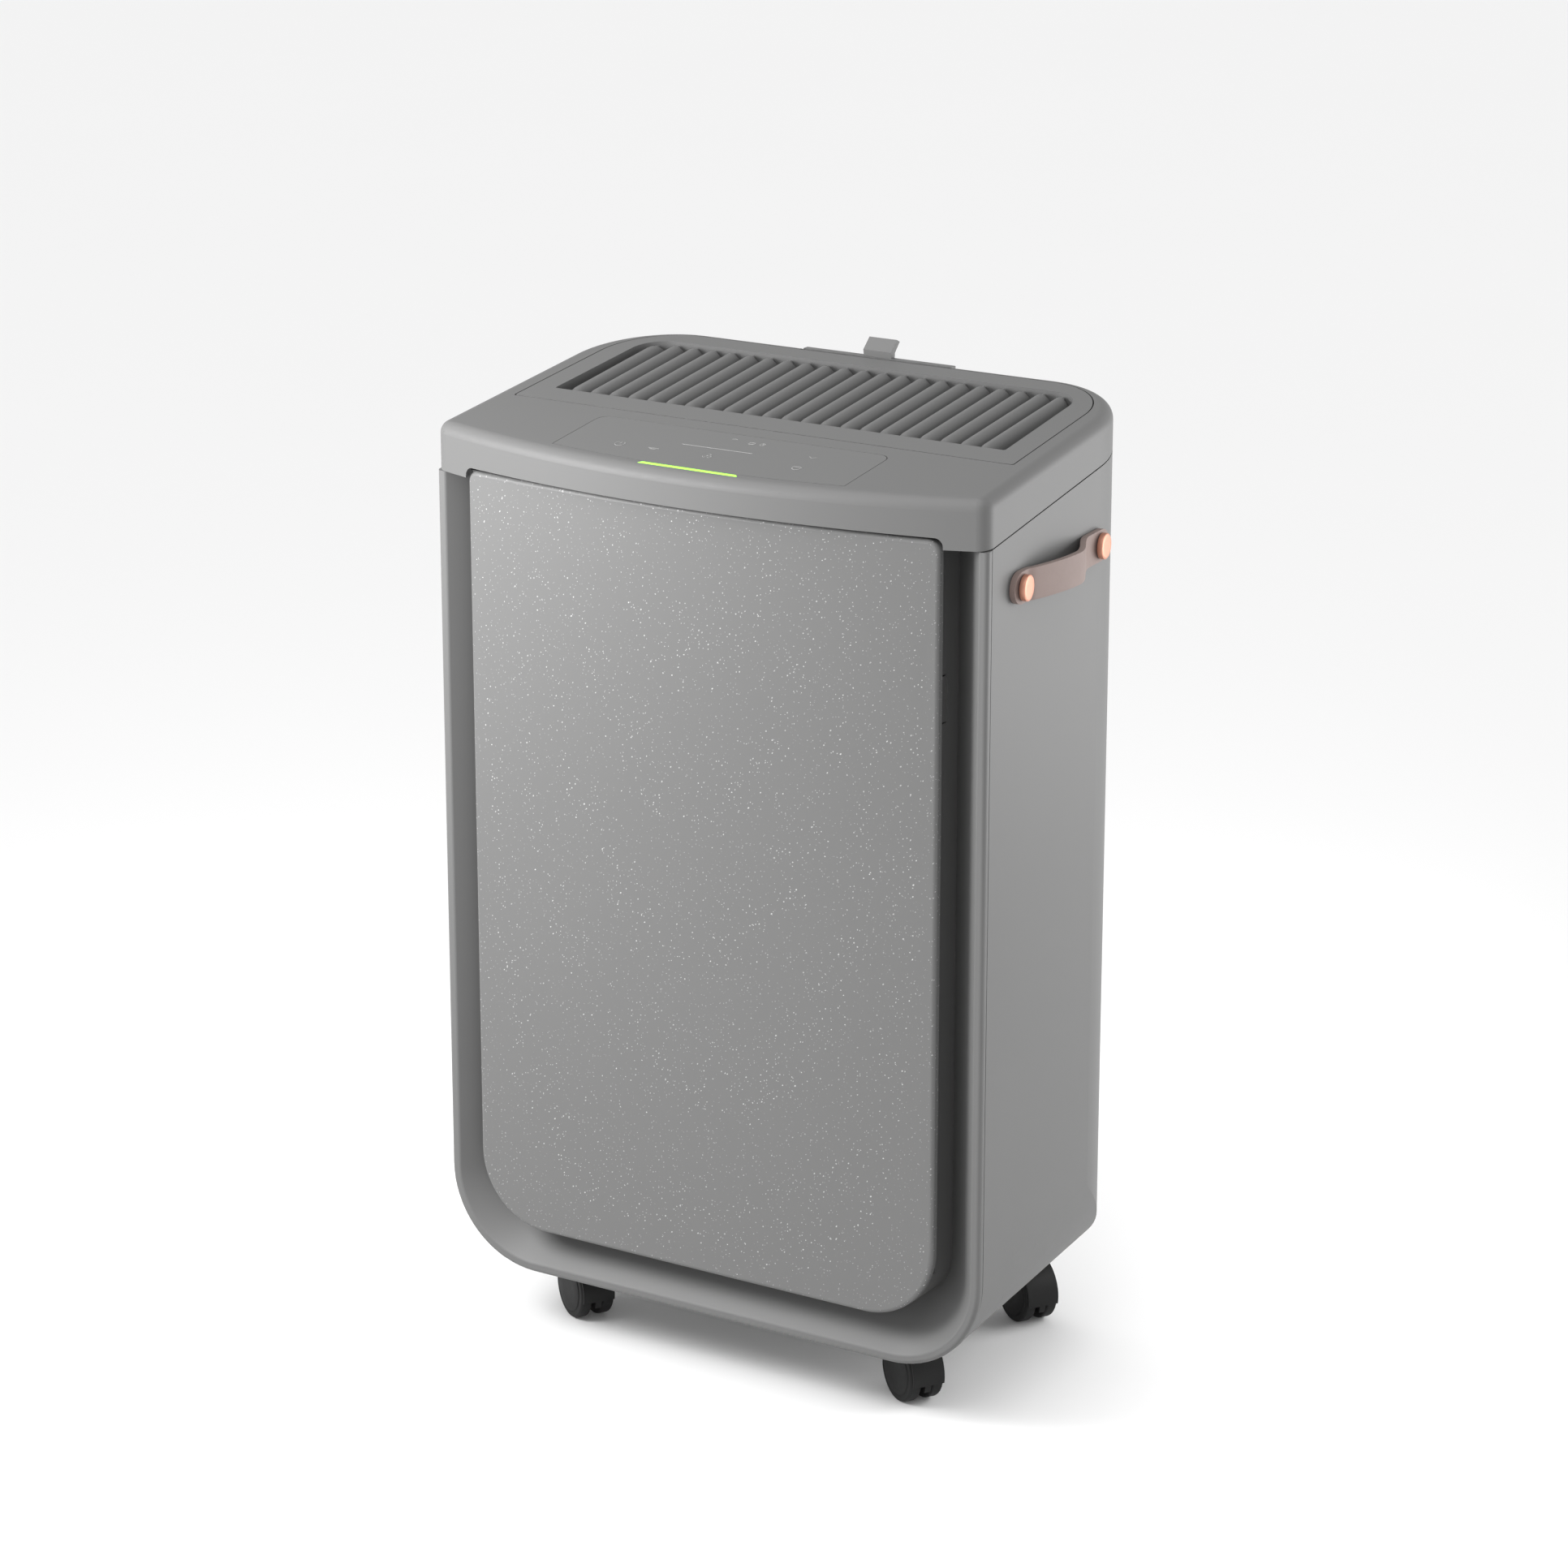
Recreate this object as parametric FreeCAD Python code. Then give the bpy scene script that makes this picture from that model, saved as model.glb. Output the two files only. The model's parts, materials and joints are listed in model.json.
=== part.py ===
import FreeCAD, Part
import math
import os

V = FreeCAD.Vector
X, Y, Z = V(1, 0, 0), V(0, 1, 0), V(0, 0, 1)

# Dehumidifier. Millimetres, +Z up, the front faces -Y, the origin is on the floor under the middle.
# Body
rim_y = -89.0            # front plane of the frame's lip
rear_y = 107.0           # rear face
front_half = 186.0       # half width at the lip
rear_half = 180.0        # half width at the rear face, the sides taper in plan
belly_z = 40.5           # underside of the wrap
front_corner_r = 59.5    # lower corners of the U seen from the front
rear_corner_r = 84.0     # the same corners at the rear
plan_corner_r = 61.0     # rear corners seen from above
wall = 3.0
seam_z = 537.0           # lower edge of the cap at the lip
seam_slope = 0.15
deck_z = 565.5           # deck height at the lip
deck_slope = 0.129
cap_bow = 24.0           # how far the cap's front bulges past the lip
part_gap = 0.8           # shadow gap between skins
blank_top = 640.0        # blanks are drawn up to here, then trimmed

# Front frame: lip, cove and pedestal
lip_r = 2.6
lip_flat = 5.0
lip_depth = 4.5
cove_in = 36.0           # distance from the side to the pedestal wall
cove_y = -57.5           # where the cove meets the pedestal wall
pedestal_y = -90.2       # front of the pedestal, just behind the panel

# Front panel and drawer
panel_half = 158.8
panel_low = 72.0
panel_high = 541.0
panel_edge_y = -95.7
panel_back_y = -90.7
panel_bow = 12.0
panel_low_r = 46.0
panel_top_r = 7.0
panel_skin = 3.0
panel_border = 13.0
stud_r = 4.0
stud_x, stud_z = 120.0, (140.0, 440.0)
tray_low = 99.5
tray_high = 489.0
tray_back_y = -78.5
tray_gap = 1.5
tab_low, tab_high = 430.6, 457.3
tab_reach = 8.0

# Water tank
tank_half = 138.0
tank_back_y = -14.0
tank_low = 104.0
tank_high = 285.0
tank_wall = 2.5
lid_t = 3.0
handle_pivot = V(0, -66.0, 293.0)
handle_reach = 42.0
handle_half = 60.0
handle_t = 6.0
handle_pin_r = 2.0
inlet_x, inlet_y = (85.0, 125.0), (-60.0, -30.0)
float_pivot = V(-118, -50, 262)
float_pin_r = 1.5
float_half_x, float_half_y = 14.0, 10.0
float_drop, float_high = 60.0, 32.0
bay_half = 140.0
bay_legs = (-70.0, 0.0, 70.0)
splash_high = 340.0      # top of the plate behind the tank

# Deck
deck_t = 7.0
insert_t = 4.0
insert_half = 169.0
insert_front_y = -32.0
insert_rear_y = 100.0
insert_corner_r = 45.0
groove = 0.8
vent_half = 153.3
vent_front_y = -13.0
vent_rear_y = 86.0
vent_corner_r = 20.0
blade_count = 22
blade_t = 3.4
blade_drop = 2.0
blade_deep = 17.0
blade_lean = 14.0        # degrees from upright
lens_half = 98.0
lens_rear_y = -45.0
lens_t = 1.6
light_half = 33.5
light_wide = 2.6
light_inset = 7.0        # from the cap's front face to the light bar
cap_edge_r = 9.0         # upright front corners of the cap
cap_rim_r = 7.5          # rounding round the deck
board_half, board_y = 90.0, (-98.0, -50.0)

# Side straps
pin_front_y, pin_rear_y = -53.7, 41.8
pin_z = 510.5
pin_head_r = 7.2
pin_head_t = 3.4
strap_half = 10.5
strap_t = 2.6
strap_bulge = 15.0       # gap between the strap's middle and the side
strap_over = 17.0        # how far a strap end runs past its pin
strap_rest = 0.3         # air between the strap's flat ends and the side
shank_r, pin_hole_r = 2.5, 2.6
nut_r, nut_depth, nut_t = 6.0, 10.0, 5.0

# Rear
cover_half = 112.0
cover_low = 66.0
cassette_half = 92.0
cassette_low = 170.0
cassette_neck_half = 51.5
cassette_t = 5.0
tab_half = 9.5
cassette_rim = 9.0
louvre_rows, louvre_t = 34, 2.8
cassette_ribs = (-42.0, 0.0, 42.0)
cassette_hinge = (rear_y - 2.5, cassette_low + 4.0)
cassette_pin_r = 2.0
screw_x, screw_z = 100.0, (90.0, 320.0, 545.0)
screw_head_r, screw_r, screw_deep = 3.6, 1.6, 16.0
drain_x, drain_z = -70.0, 100.0
spigot_r, spigot_bore_r, outlet_hole_r = 7.0, 5.0, 9.0
cord_x, cord_z = 75.0, 110.0
cord_bore_r, gland_r = 3.8, 8.8
flange_r = 12.0

# Casters
wheel_r = 19.0
wheel_t = 7.6
wheel_pitch = 14.6
trail = -4.0             # the wheels' axle runs this far ahead of the stem
caster_turn = 58.5       # degrees from +X to the axle
caster_x = 117.5
caster_front_y, caster_rear_y = -46.0, 93.0
stem_r = 4.0
axle_r = 2.0
collar_r = 7.5
hood_gap, hood_skin = 0.7, 1.0
hood_half = 10.4         # half width of the hood along the axle
web_half = 2.0
dish_rim, dish_deep = 4.0, 1.2
run_gap = 0.05

# Base pan
pan_half, pan_front_y, pan_rear_y = 125.0, -55.0, 100.0
pan_corner_r, pan_t, pan_rim_high = 12.0, 3.0, 14.0
pan_floor = belly_z + wall
boss_r, boss_high, boss_hole = 11.0, 32.0, 28.0
web_reach, web_t, web_high = 32.0, 5.0, 30.0

# Fan
fan_z = 440.0
fan_r = 76.0
scroll_r = 88.0
scroll_front_y, scroll_rear_y = -60.0, 18.0
fan_blades = 30
blade_depth, fan_blade_t, fan_blade_lean = 12.4, 1.4, 30.0
fan_back_y = scroll_front_y + 34.0
fan_deep, fan_disc_t, fan_rim_t = 37.0, 2.0, 3.0
motor_r, motor_long = 30.0, 28.0
shaft_r = 3.0
scroll_skin, inlet_r = 2.0, 52.0

# Refrigeration
can_centre = V(65, 39, 58)
can_r, can_high, can_edge_r = 49.0, 185.0, 16.0
can_room_r, can_room_z = 38.0, (22.0, 163.0)
bottle_x, bottle_r, bottle_z = -8.0, 17.0, (90.0, 220.0)
foot_r, foot_ring = 9.0, 38.0
foot_angles = (90, 210, 330)
coil_low, coil_high = 275.0, 520.0
evaporator_y, condenser_y = (52.0, 74.0), (26.0, 48.0)
fin_count, fin_pitch, fin_t = 31, 8.0, 1.2
tube_rows, tube_r, tube_half = 9, 4.0, 126.0
end_plate_x, end_plate_t, end_plate_lap = 122.0, 2.4, 2.0
pipe_r, pipe_bend = 3.5, 6.0

# Electronics
case_x, case_y, case_z = (-142.0, -98.0), (-40.0, 20.0), (345.0, 505.0)
case_wall = 2.0


def box(x0, x1, y0, y1, z0, z1):
    return Part.makeBox(x1 - x0, y1 - y0, z1 - z0, V(x0, y0, z0))


def rod(radius, start, end):
    return Part.makeCylinder(radius, (end - start).Length, start, end - start)


def fused(shapes):
    whole = shapes[0].multiFuse(shapes[1:]) if len(shapes) > 1 else shapes[0]
    return whole.removeSplitter()


def cut(shape, *tools):
    return shape.cut(list(tools)).removeSplitter()


def outline(points, radii, place):
    """Closed wire through 2-D points, each corner rounded to its radius."""
    count = len(points)
    runs = []
    for i, (px, py) in enumerate(points):
        here = V(px, py, 0)
        back = (V(*points[i - 1], 0) - here).normalize()
        ahead = (V(*points[(i + 1) % count], 0) - here).normalize()
        half = back.getAngle(ahead) / 2
        reach = radii[i] / math.tan(half)
        middle = (back + ahead).normalize() * (radii[i] / math.sin(half) - radii[i])
        runs.append((here + back * reach, here + middle, here + ahead * reach, radii[i]))
    edges = []
    for i, (first, middle, last, radius) in enumerate(runs):
        following = runs[(i + 1) % count][0]
        if radius:
            edges.append(Part.Arc(place(first), place(middle), place(last)).toShape())
        if (following - last).Length > 1e-6:
            edges.append(Part.LineSegment(place(last), place(following)).toShape())
    return Part.Wire(edges)


def flat_at(z):
    return lambda p: V(p.x, p.y, z)


def front_at(y):
    return lambda p: V(p.x, y, p.y)


def plate(points, radii, z0, z1):
    return Part.Face(outline(points, radii, flat_at(z0))).extrude(V(0, 0, z1 - z0))


def upright(points, radii, y0, y1):
    return Part.Face(outline(points, radii, front_at(y0))).extrude(V(0, y1 - y0, 0))


def half_width(y):
    return front_half + (rear_half - front_half) * (y - rim_y) / (rear_y - rim_y)


def bow_cylinder(front_y, bow, half, z0, z1):
    radius = (half ** 2 + bow ** 2) / (2 * bow)
    return Part.makeCylinder(radius, z1 - z0, V(0, front_y + radius, z0))


def above_plane(height, slope):
    """Large block above the plane z = height + slope * (y - rim_y)."""
    low, high = rim_y - 60, rear_y + 60
    ends = [height + slope * (y - rim_y) for y in (low, high)]
    side = [V(-300, low, ends[0]), V(-300, high, ends[1]), V(-300, high, 900), V(-300, low, 900)]
    return Part.Face(Part.makePolygon(side + side[:1])).extrude(V(600, 0, 0))


def deck_at(y):
    return deck_z + deck_slope * (y - rim_y)


def on_deck(shape):
    """Lay a shape drawn with z = 0 at the lip down on the sloping deck."""
    laid = shape.copy()
    laid.rotate(V(0, rim_y, 0), X, math.degrees(math.atan(deck_slope)))
    laid.translate(V(0, 0, deck_z))
    return laid


def u_wire(half, corner_r, low, y):
    points = [(-half, blank_top - 20), (-half, low), (half, low), (half, blank_top - 20)]
    return outline(points, [0, corner_r, corner_r, 0], front_at(y))


def plan_body(inset, z0, z1, front_y):
    rear = rear_y - inset
    corners = [(-half_width(front_y) + inset, front_y), (half_width(front_y) - inset, front_y),
               (half_width(rear) - inset, rear), (-half_width(rear) + inset, rear)]
    return plate(corners, [0, 0, plan_corner_r - inset, plan_corner_r - inset], z0, z1)


def body_block(inset):
    """The body's outer form, shrunk by inset: a U section lofted rearwards, rounded in plan."""
    wires = [u_wire(front_half - inset, front_corner_r - inset, belly_z + inset, rim_y),
             u_wire(rear_half - inset, rear_corner_r - inset, belly_z + inset, rear_y)]
    loft = Part.makeLoft(wires, True, True)
    return loft.common(plan_body(inset, 0, blank_top, rim_y))


def caster_spots():
    spots = {"front_left": (-caster_x, caster_front_y), "front_right": (caster_x, caster_front_y),
             "rear_left": (-caster_x, caster_rear_y), "rear_right": (caster_x, caster_rear_y)}
    axle = math.radians(caster_turn)
    offset = V(-math.sin(axle), math.cos(axle), 0) * trail
    return {name: (V(x, y, 0), V(x, y, 0) - offset) for name, (x, y) in spots.items()}


def wrap_shell():
    shell = body_block(0).cut(body_block(wall))
    keep = box(-200, 200, rim_y + lip_depth + part_gap, 200, 0, 700)
    shell = shell.common(keep).cut(above_plane(seam_z - part_gap, seam_slope))
    corners = [(-cover_half, cover_low), (cover_half, cover_low), (cover_half, blank_top),
               (-cover_half, blank_top)]
    rear_window = upright(corners, [pan_corner_r, pan_corner_r, 0, 0], rear_y - 8, rear_y + 8)
    stem_holes = [rod(boss_r + 2, V(pivot.x, pivot.y, 30), V(pivot.x, pivot.y, 60))
                  for _, pivot in caster_spots().values()]
    pin_holes = [rod(pin_hole_r, V(-220, y, pin_z), V(220, y, pin_z)) for y in (pin_front_y, pin_rear_y)]
    return cut(shell, rear_window, *stem_holes, *pin_holes)


def cove_section():
    """Section of the frame at the left side's top: lip, cove, pedestal wall."""
    def at(u, y):
        return V(-front_half + u, y, 560)
    lip = [at(0, rim_y + lip_depth), at(0, rim_y + lip_r), at(lip_r, rim_y), at(lip_flat, rim_y)]
    crease = at(cove_in, cove_y)
    middle = at((lip_flat + cove_in) / 2 + 1.0, (rim_y + cove_y) / 2 + 4.5)
    wall_front = at(cove_in, pedestal_y)
    inner = [at(cove_in + 4, pedestal_y), at(cove_in + 4, cove_y + 4), at(cove_in - 2, cove_y + 4)]
    back = [at(7.5, rim_y + 10), at(4.4, rim_y + 10), at(4.4, rim_y + lip_depth)]
    bend = lip_r * (1 - math.sqrt(0.5))
    edges = [Part.makeLine(lip[0], lip[1]),
             Part.Arc(lip[1], at(bend, rim_y + bend), lip[2]).toShape(),
             Part.makeLine(lip[2], lip[3]),
             Part.Arc(lip[3], middle, crease).toShape()]
    chain = [crease, wall_front] + inner + back + [lip[0]]
    edges += [Part.makeLine(a, b) for a, b in zip(chain, chain[1:])]
    return Part.Wire(edges)


def front_frame():
    h, low, r = front_half, belly_z, front_corner_r
    d = r * (1 - math.sqrt(0.5))

    def at(x, z):
        return V(x, rim_y + lip_depth, z)
    path = Part.Wire([Part.makeLine(at(-h, 560), at(-h, low + r)),
                      Part.Arc(at(-h, low + r), at(-h + d, low + d), at(-h + r, low)).toShape(),
                      Part.makeLine(at(-h + r, low), at(h - r, low)),
                      Part.Arc(at(h - r, low), at(h - d, low + d), at(h, low + r)).toShape(),
                      Part.makeLine(at(h, low + r), at(h, 560))])
    ring = path.makePipeShell([cove_section()], True, False)
    inner_half = front_half - cove_in
    head = box(-inner_half + 2, inner_half - 2, pedestal_y, pedestal_y + 4, tray_high + tray_gap, 550)
    sill = box(-inner_half + 20, inner_half - 20, pedestal_y, pedestal_y + 4, belly_z + cove_in + 2,
               tray_low - tray_gap)
    roofs = [box(min(a, b), max(a, b), rim_y + 12, cove_y + 4, 532.5, 536)
             for a, b in ((inner_half - 2, front_half - 8), (-inner_half + 2, -front_half + 8))]
    whole = fused([ring, head, sill] + roofs)
    window = box(-front_half, front_half, rim_y - 10, tray_back_y + tray_gap, tray_low - tray_gap,
                 tray_high + tray_gap)
    lane = box(-inner_half - 5, inner_half + 5, -200, 200, 0, 700)
    tabs = box(-front_half, front_half, rim_y - 10, tray_back_y + tab_reach + tray_gap / 2, tab_low - 1,
               tab_high + 1)
    top = above_plane(seam_z - part_gap, seam_slope)
    return cut(whole, window.common(lane), tabs.common(lane), top)


def cap_block(inset):
    front = rim_y - cap_bow + inset
    sides = plan_body(inset, 500, blank_top, rim_y - cap_bow - 2)
    return sides.common(bow_cylinder(front, cap_bow, front_half - inset, 490, blank_top + 10))


def filleted(shape, radius, chosen):
    edges = [e for e in shape.Edges if chosen(e)]
    return shape.makeFillet(radius, edges)


def is_front_corner(edge):
    box_ = edge.BoundBox
    return box_.ZLength > 20 and box_.XLength < 1 and box_.YLength < 1 and box_.YMin < rim_y + 5


def is_deck_rim(edge):
    ends = [v.Point for v in edge.Vertexes]
    return all(abs(p.z - deck_at(p.y)) < 0.05 for p in ends) and len(ends) == 2


def top_cap():
    block = cap_block(0).cut(above_plane(deck_z, deck_slope))
    block = filleted(block, cap_edge_r, is_front_corner)
    block = filleted(block, cap_rim_r, is_deck_rim)
    below = box(-300, 300, -300, 300, 0, 900).cut(above_plane(seam_z, seam_slope))
    room = cap_block(wall).cut(above_plane(deck_z - deck_t, deck_slope))
    notch = upright([(-panel_half - 2, 500), (panel_half + 2, 500), (panel_half + 2, panel_high + 1.5),
                     (-panel_half - 2, panel_high + 1.5)], [0, 0, 5, 5], rim_y - 40, rim_y + 1)
    pocket = on_deck(insert_plan(-groove, -insert_t, 30))
    through = on_deck(insert_plan(7, -30, 30))
    lens_pocket = on_deck(lens_plan(-0.35, -lens_t - 0.1, 30))
    light_slot = light_block(0.1, 6)
    neck = box(-cassette_neck_half - part_gap, cassette_neck_half + part_gap, rear_y - 9, rear_y + 9,
               500, blank_top)
    return cut(block, below, room, notch, pocket, through, lens_pocket, light_slot, neck)


def insert_plan(inset, z0, z1):
    """Outline of the grille panel, drawn with z = 0 on the deck."""
    taper = (rear_half - front_half) / (rear_y - rim_y)
    low, high = insert_front_y + inset, insert_rear_y - inset
    near = insert_half - inset
    far = near + taper * (high - low)
    radius = insert_corner_r - inset
    return plate([(-near, low), (near, low), (far, high), (-far, high)], [1.5, 1.5, radius, radius], z0, z1)


def vent_plan(inset, z0, z1):
    low, high = vent_front_y + inset, vent_rear_y - inset
    near, far = vent_half - inset, vent_half - 3 - inset
    radius = vent_corner_r - inset
    return plate([(-near, low), (near, low), (far, high), (-far, high)], [1.5, 1.5, radius, radius], z0, z1)


def outlet_grille():
    panel = insert_plan(0, -insert_t + 0.1, 0).cut(vent_plan(0, -30, 30))
    collar = vent_plan(-2, -blade_deep, -insert_t + 0.1).cut(vent_plan(0, -60, 30))
    room = vent_plan(-1, -60, 30)
    pitch = 2 * vent_half / (blade_count + 1)
    shapes = [panel, collar]
    for i in range(blade_count):
        x = -vent_half + (i + 1) * pitch
        section = [(x - blade_t / 2, -blade_deep), (x + blade_t / 2, -blade_deep),
                   (x + blade_t / 2, -blade_drop), (x - blade_t / 2, -blade_drop)]
        blade = upright(section, [0.8, 0.8, 1.5, 1.5], vent_front_y - 5, vent_rear_y + 5)
        blade.rotate(V(x, 0, -blade_deep), Y, -blade_lean)
        bevel = Part.makeBox(60, 30, 30, V(x - 30, -30, 0))
        bevel.rotate(V(x, 0, 0), X, 38)
        bevel.translate(V(0, vent_front_y, -8.5))
        shapes.append(blade.cut(bevel).common(room))
    return on_deck(fused(shapes))


def lens_plan(inset, z0, z1):
    front = rim_y - cap_bow + light_inset + light_wide + 0.4 + inset
    half, rear = lens_half - inset, lens_rear_y - inset
    sheet = plate([(-half, front - 20), (half, front - 20), (half, rear), (-half, rear)], [0, 0, 7, 7],
                  z0, z1)
    return sheet.common(bow_cylinder(front, cap_bow, front_half, z0 - 1, z1 + 1))


def control_lens():
    return on_deck(lens_plan(0, -lens_t, 0))


def light_block(gap, deep):
    front = rim_y - cap_bow + light_inset
    half, wide = light_half + gap, light_wide + gap
    points = [(-half, front - gap), (half, front - gap), (half - 2, front + wide),
              (-half + 2, front + wide)]
    return on_deck(plate(points, [0.3, 0.3, 0.3, 0.3], -deep, 0.05 if gap == 0 else 30))


def light_bar():
    return light_block(0, 5)


def touch_board():
    front, rear = board_y
    corners = [(-board_half, front), (board_half, front), (board_half, rear), (-board_half, rear)]
    board = plate(corners, [3, 3, 3, 3], -deck_t - 4, -deck_t - 2.4)
    chip = box(-15, 15, -80, -65, -deck_t - 7, -deck_t - 4)
    posts = [rod(3, V(x, -74, -deck_t - 2.4), V(x, -74, -deck_t))
             for x in (10 - board_half, board_half - 10)]
    return on_deck(fused([board, chip] + posts))


def panel_form(inset, border):
    """Panel solid: flat at the foot, bowed at the top, trimmed to a rounded outline."""
    def section(z, bow):
        half, front, back = panel_half + 12, panel_edge_y + inset, panel_back_y + 40
        drop = bow * (1 - (half / panel_half) ** 2)
        ends = [V(-half, front - drop, z), V(half, front - drop, z)]
        arc = Part.Arc(ends[0], V(0, front - bow, z), ends[1]).toShape()
        corners = [ends[1], V(half, back, z), V(-half, back, z), ends[0]]
        return Part.Wire([arc] + [Part.makeLine(a, b) for a, b in zip(corners, corners[1:])])
    block = Part.makeLoft([section(panel_low - 10, 0.4), section(panel_high + 10, panel_bow)], True, True)
    half, low, high = panel_half - border, panel_low + border, panel_high - border
    radii = [max(r - border, 2) for r in (panel_low_r, panel_low_r, panel_top_r, panel_top_r)]
    corners = [(-half, low), (half, low), (half, high), (-half, high)]
    return block.common(upright(corners, radii, -160, panel_back_y))


def front_panel():
    skin = panel_form(0, 0)
    front_loop = [e for e in skin.Edges if e.BoundBox.YMax < panel_back_y - 0.5 and e.Length > 6]
    skin = skin.makeFillet(2.4, front_loop)
    return cut(skin, panel_form(panel_skin, panel_border))


def drawer_tray():
    half = front_half - cove_in
    tray = box(-half, half, panel_back_y, tray_back_y, tray_low, tray_high)
    hollow = box(-half + 4, half - 4, panel_back_y + 3, tray_back_y, tank_high + 8, tray_high - 4)
    tabs = [box(s * half - (6 if s > 0 else 0), s * half + (0 if s > 0 else 6), tray_back_y - 1,
                tray_back_y + tab_reach - 1, tab_low, tab_high) for s in (-1, 1)]
    studs = [rod(stud_r, V(x, panel_edge_y - panel_bow, z), V(x, panel_back_y, z))
             for x in (-stud_x, stud_x) for z in stud_z]
    solid = fused([tray.cut(hollow)] + tabs)
    return fused([solid] + [s.common(panel_form(panel_skin, panel_border)) for s in studs])


def water_tank():
    y0, y1 = tray_back_y, tank_back_y
    corners = [(-tank_half, y0), (tank_half, y0), (tank_half, y1), (-tank_half, y1)]
    inner = [(-tank_half + tank_wall, y0 + tank_wall), (tank_half - tank_wall, y0 + tank_wall),
             (tank_half - tank_wall, y1 - tank_wall), (-tank_half + tank_wall, y1 - tank_wall)]
    outer = plate(corners, [3, 3, 10, 10], tank_low, tank_high)
    return cut(outer, plate(inner, [2, 2, 7.5, 7.5], tank_low + tank_wall, tank_high + 5))


def tank_lid():
    y0, y1 = tray_back_y, tank_back_y
    corners = [(-tank_half, y0), (tank_half, y0), (tank_half, y1), (-tank_half, y1)]
    lid = plate(corners, [3, 3, 10, 10], tank_high, tank_high + lid_t)
    inlet = box(*inlet_x, *inlet_y, 0, 400)
    ears = []
    for s in (-1, 1):
        x = s * (handle_half + 7)
        ear = box(x - 2, x + 2, handle_pivot.y - 5, handle_pivot.y + 5, tank_high + lid_t - 0.5,
                  handle_pivot.z + 5)
        eye = V(x, handle_pivot.y, handle_pivot.z)
        bore = rod(handle_pin_r + run_gap, eye - X * 5, eye + X * 5)
        ears.append(ear.cut(bore))
    return fused([lid.cut(inlet)] + ears)


def tank_handle():
    y, z = handle_pivot.y, handle_pivot.z
    t = handle_t / 2
    arms = [box(s * handle_half - t, s * handle_half + t, y - t, y + handle_reach, z - t, z + t)
            for s in (-1, 1)]
    grip = box(-handle_half - t, handle_half + t, y + handle_reach - handle_t * 1.6, y + handle_reach,
               z - t, z + t)
    pins = [rod(handle_pin_r, V(s * handle_half, y, z), V(s * (handle_half + 9), y, z)) for s in (-1, 1)]
    return fused(arms + [grip] + pins)


def float_brackets():
    p = float_pivot
    bore = rod(float_pin_r + run_gap, p - X * 15, p + X * 15)
    return [box(p.x + s * 9 - 1.5, p.x + s * 9 + 1.5, p.y - 5, p.y + 5, p.z - 5, tank_high).cut(bore)
            for s in (-1, 1)]


def tank_float():
    p = float_pivot
    pin = rod(float_pin_r, p - X * 10.5, p + X * 10.5)
    arm = box(p.x - 3, p.x + 3, p.y - 3, p.y + 3, p.z - float_drop + float_high - 2, p.z + 3)
    block = box(p.x - float_half_x, p.x + float_half_x, p.y - float_half_y, p.y + float_half_y,
                p.z - float_drop, p.z - float_drop + float_high)
    return fused([pin, arm, block])


def pan_plan(inset, z0, z1):
    half, front, rear = pan_half - inset, pan_front_y + inset, pan_rear_y - inset
    corners = [(-half, front), (half, front), (half, rear), (-half, rear)]
    return plate(corners, [pan_corner_r - inset] * 4, z0, z1)


def base_pan():
    pan = pan_plan(0, pan_floor, pan_floor + pan_t)
    rim = cut(pan_plan(0, pan_floor + pan_t, pan_floor + pan_rim_high), pan_plan(pan_t, 0, 100))
    shapes, holes = [pan, rim], []
    for _, pivot in caster_spots().values():
        foot = V(pivot.x, pivot.y, belly_z)
        shapes.append(rod(boss_r, foot, foot + Z * boss_high))
        holes.append(rod(stem_r + run_gap, foot - Z, foot + Z * boss_hole))
        ends = sorted((pivot.x, pivot.x - math.copysign(web_reach, pivot.x)))
        shapes.append(box(*ends, pivot.y - web_t / 2, pivot.y + web_t / 2, pan_floor, belly_z + web_high))
    inside = body_block(wall + 0.2).common(box(-200, 200, -200, rear_y - wall - 2.6, 0, 700))
    return cut(fused(shapes).common(inside.fuse(caster_wells())), *holes)


def caster_wells():
    wells = [rod(boss_r, V(p.x, p.y, belly_z), V(p.x, p.y, belly_z + 16)) for _,
             p in caster_spots().values()]
    return wells[0].multiFuse(wells[1:])


def bay_floor():
    front, back, under = cove_y + 4.5, tank_back_y + 1, tank_low - 4
    floor = box(-bay_half, bay_half, front, back, under, under + 3.5)
    legs = [box(x - 2, x + 2, front + 1.5, back, pan_floor + pan_t, under) for x in bay_legs]
    rear = box(-bay_half, bay_half, back, back + 2, under, splash_high)
    return fused([floor, rear] + legs)


def caster_hood(c, post):
    """Cover over both wheels with a middle web, and the stem that it swivels on."""
    room_r = wheel_r + hood_gap
    web = rod(room_r + hood_skin - 0.4, c - X * web_half, c + X * web_half)
    outer = rod(room_r + hood_skin, c - X * hood_half, c + X * hood_half).cut(rod(room_r, c - X * 30,
                                                                                  c + X * 30))
    cover = outer.cut(box(-30, 30, -30, 30, -5, c.z - 4)).cut(box(-30, 30, 12, 40, -5, c.z + 2))
    stem = rod(stem_r, post + Z * (2 * wheel_r + 0.8), post + Z * (belly_z + 24))
    collar = rod(collar_r, post + Z * 22, post + Z * (belly_z - 0.4))
    swing = rod(room_r, c + X * web_half, c + X * 30).fuse(rod(room_r, c - X * web_half, c - X * 30))
    body = fused([web.cut(box(-30, 30, -60, 60, -5, c.z - 9)), cover, collar.cut(swing)])
    return fused([body.cut(rod(axle_r + run_gap, c - X * 30, c + X * 30)), stem])


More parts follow.
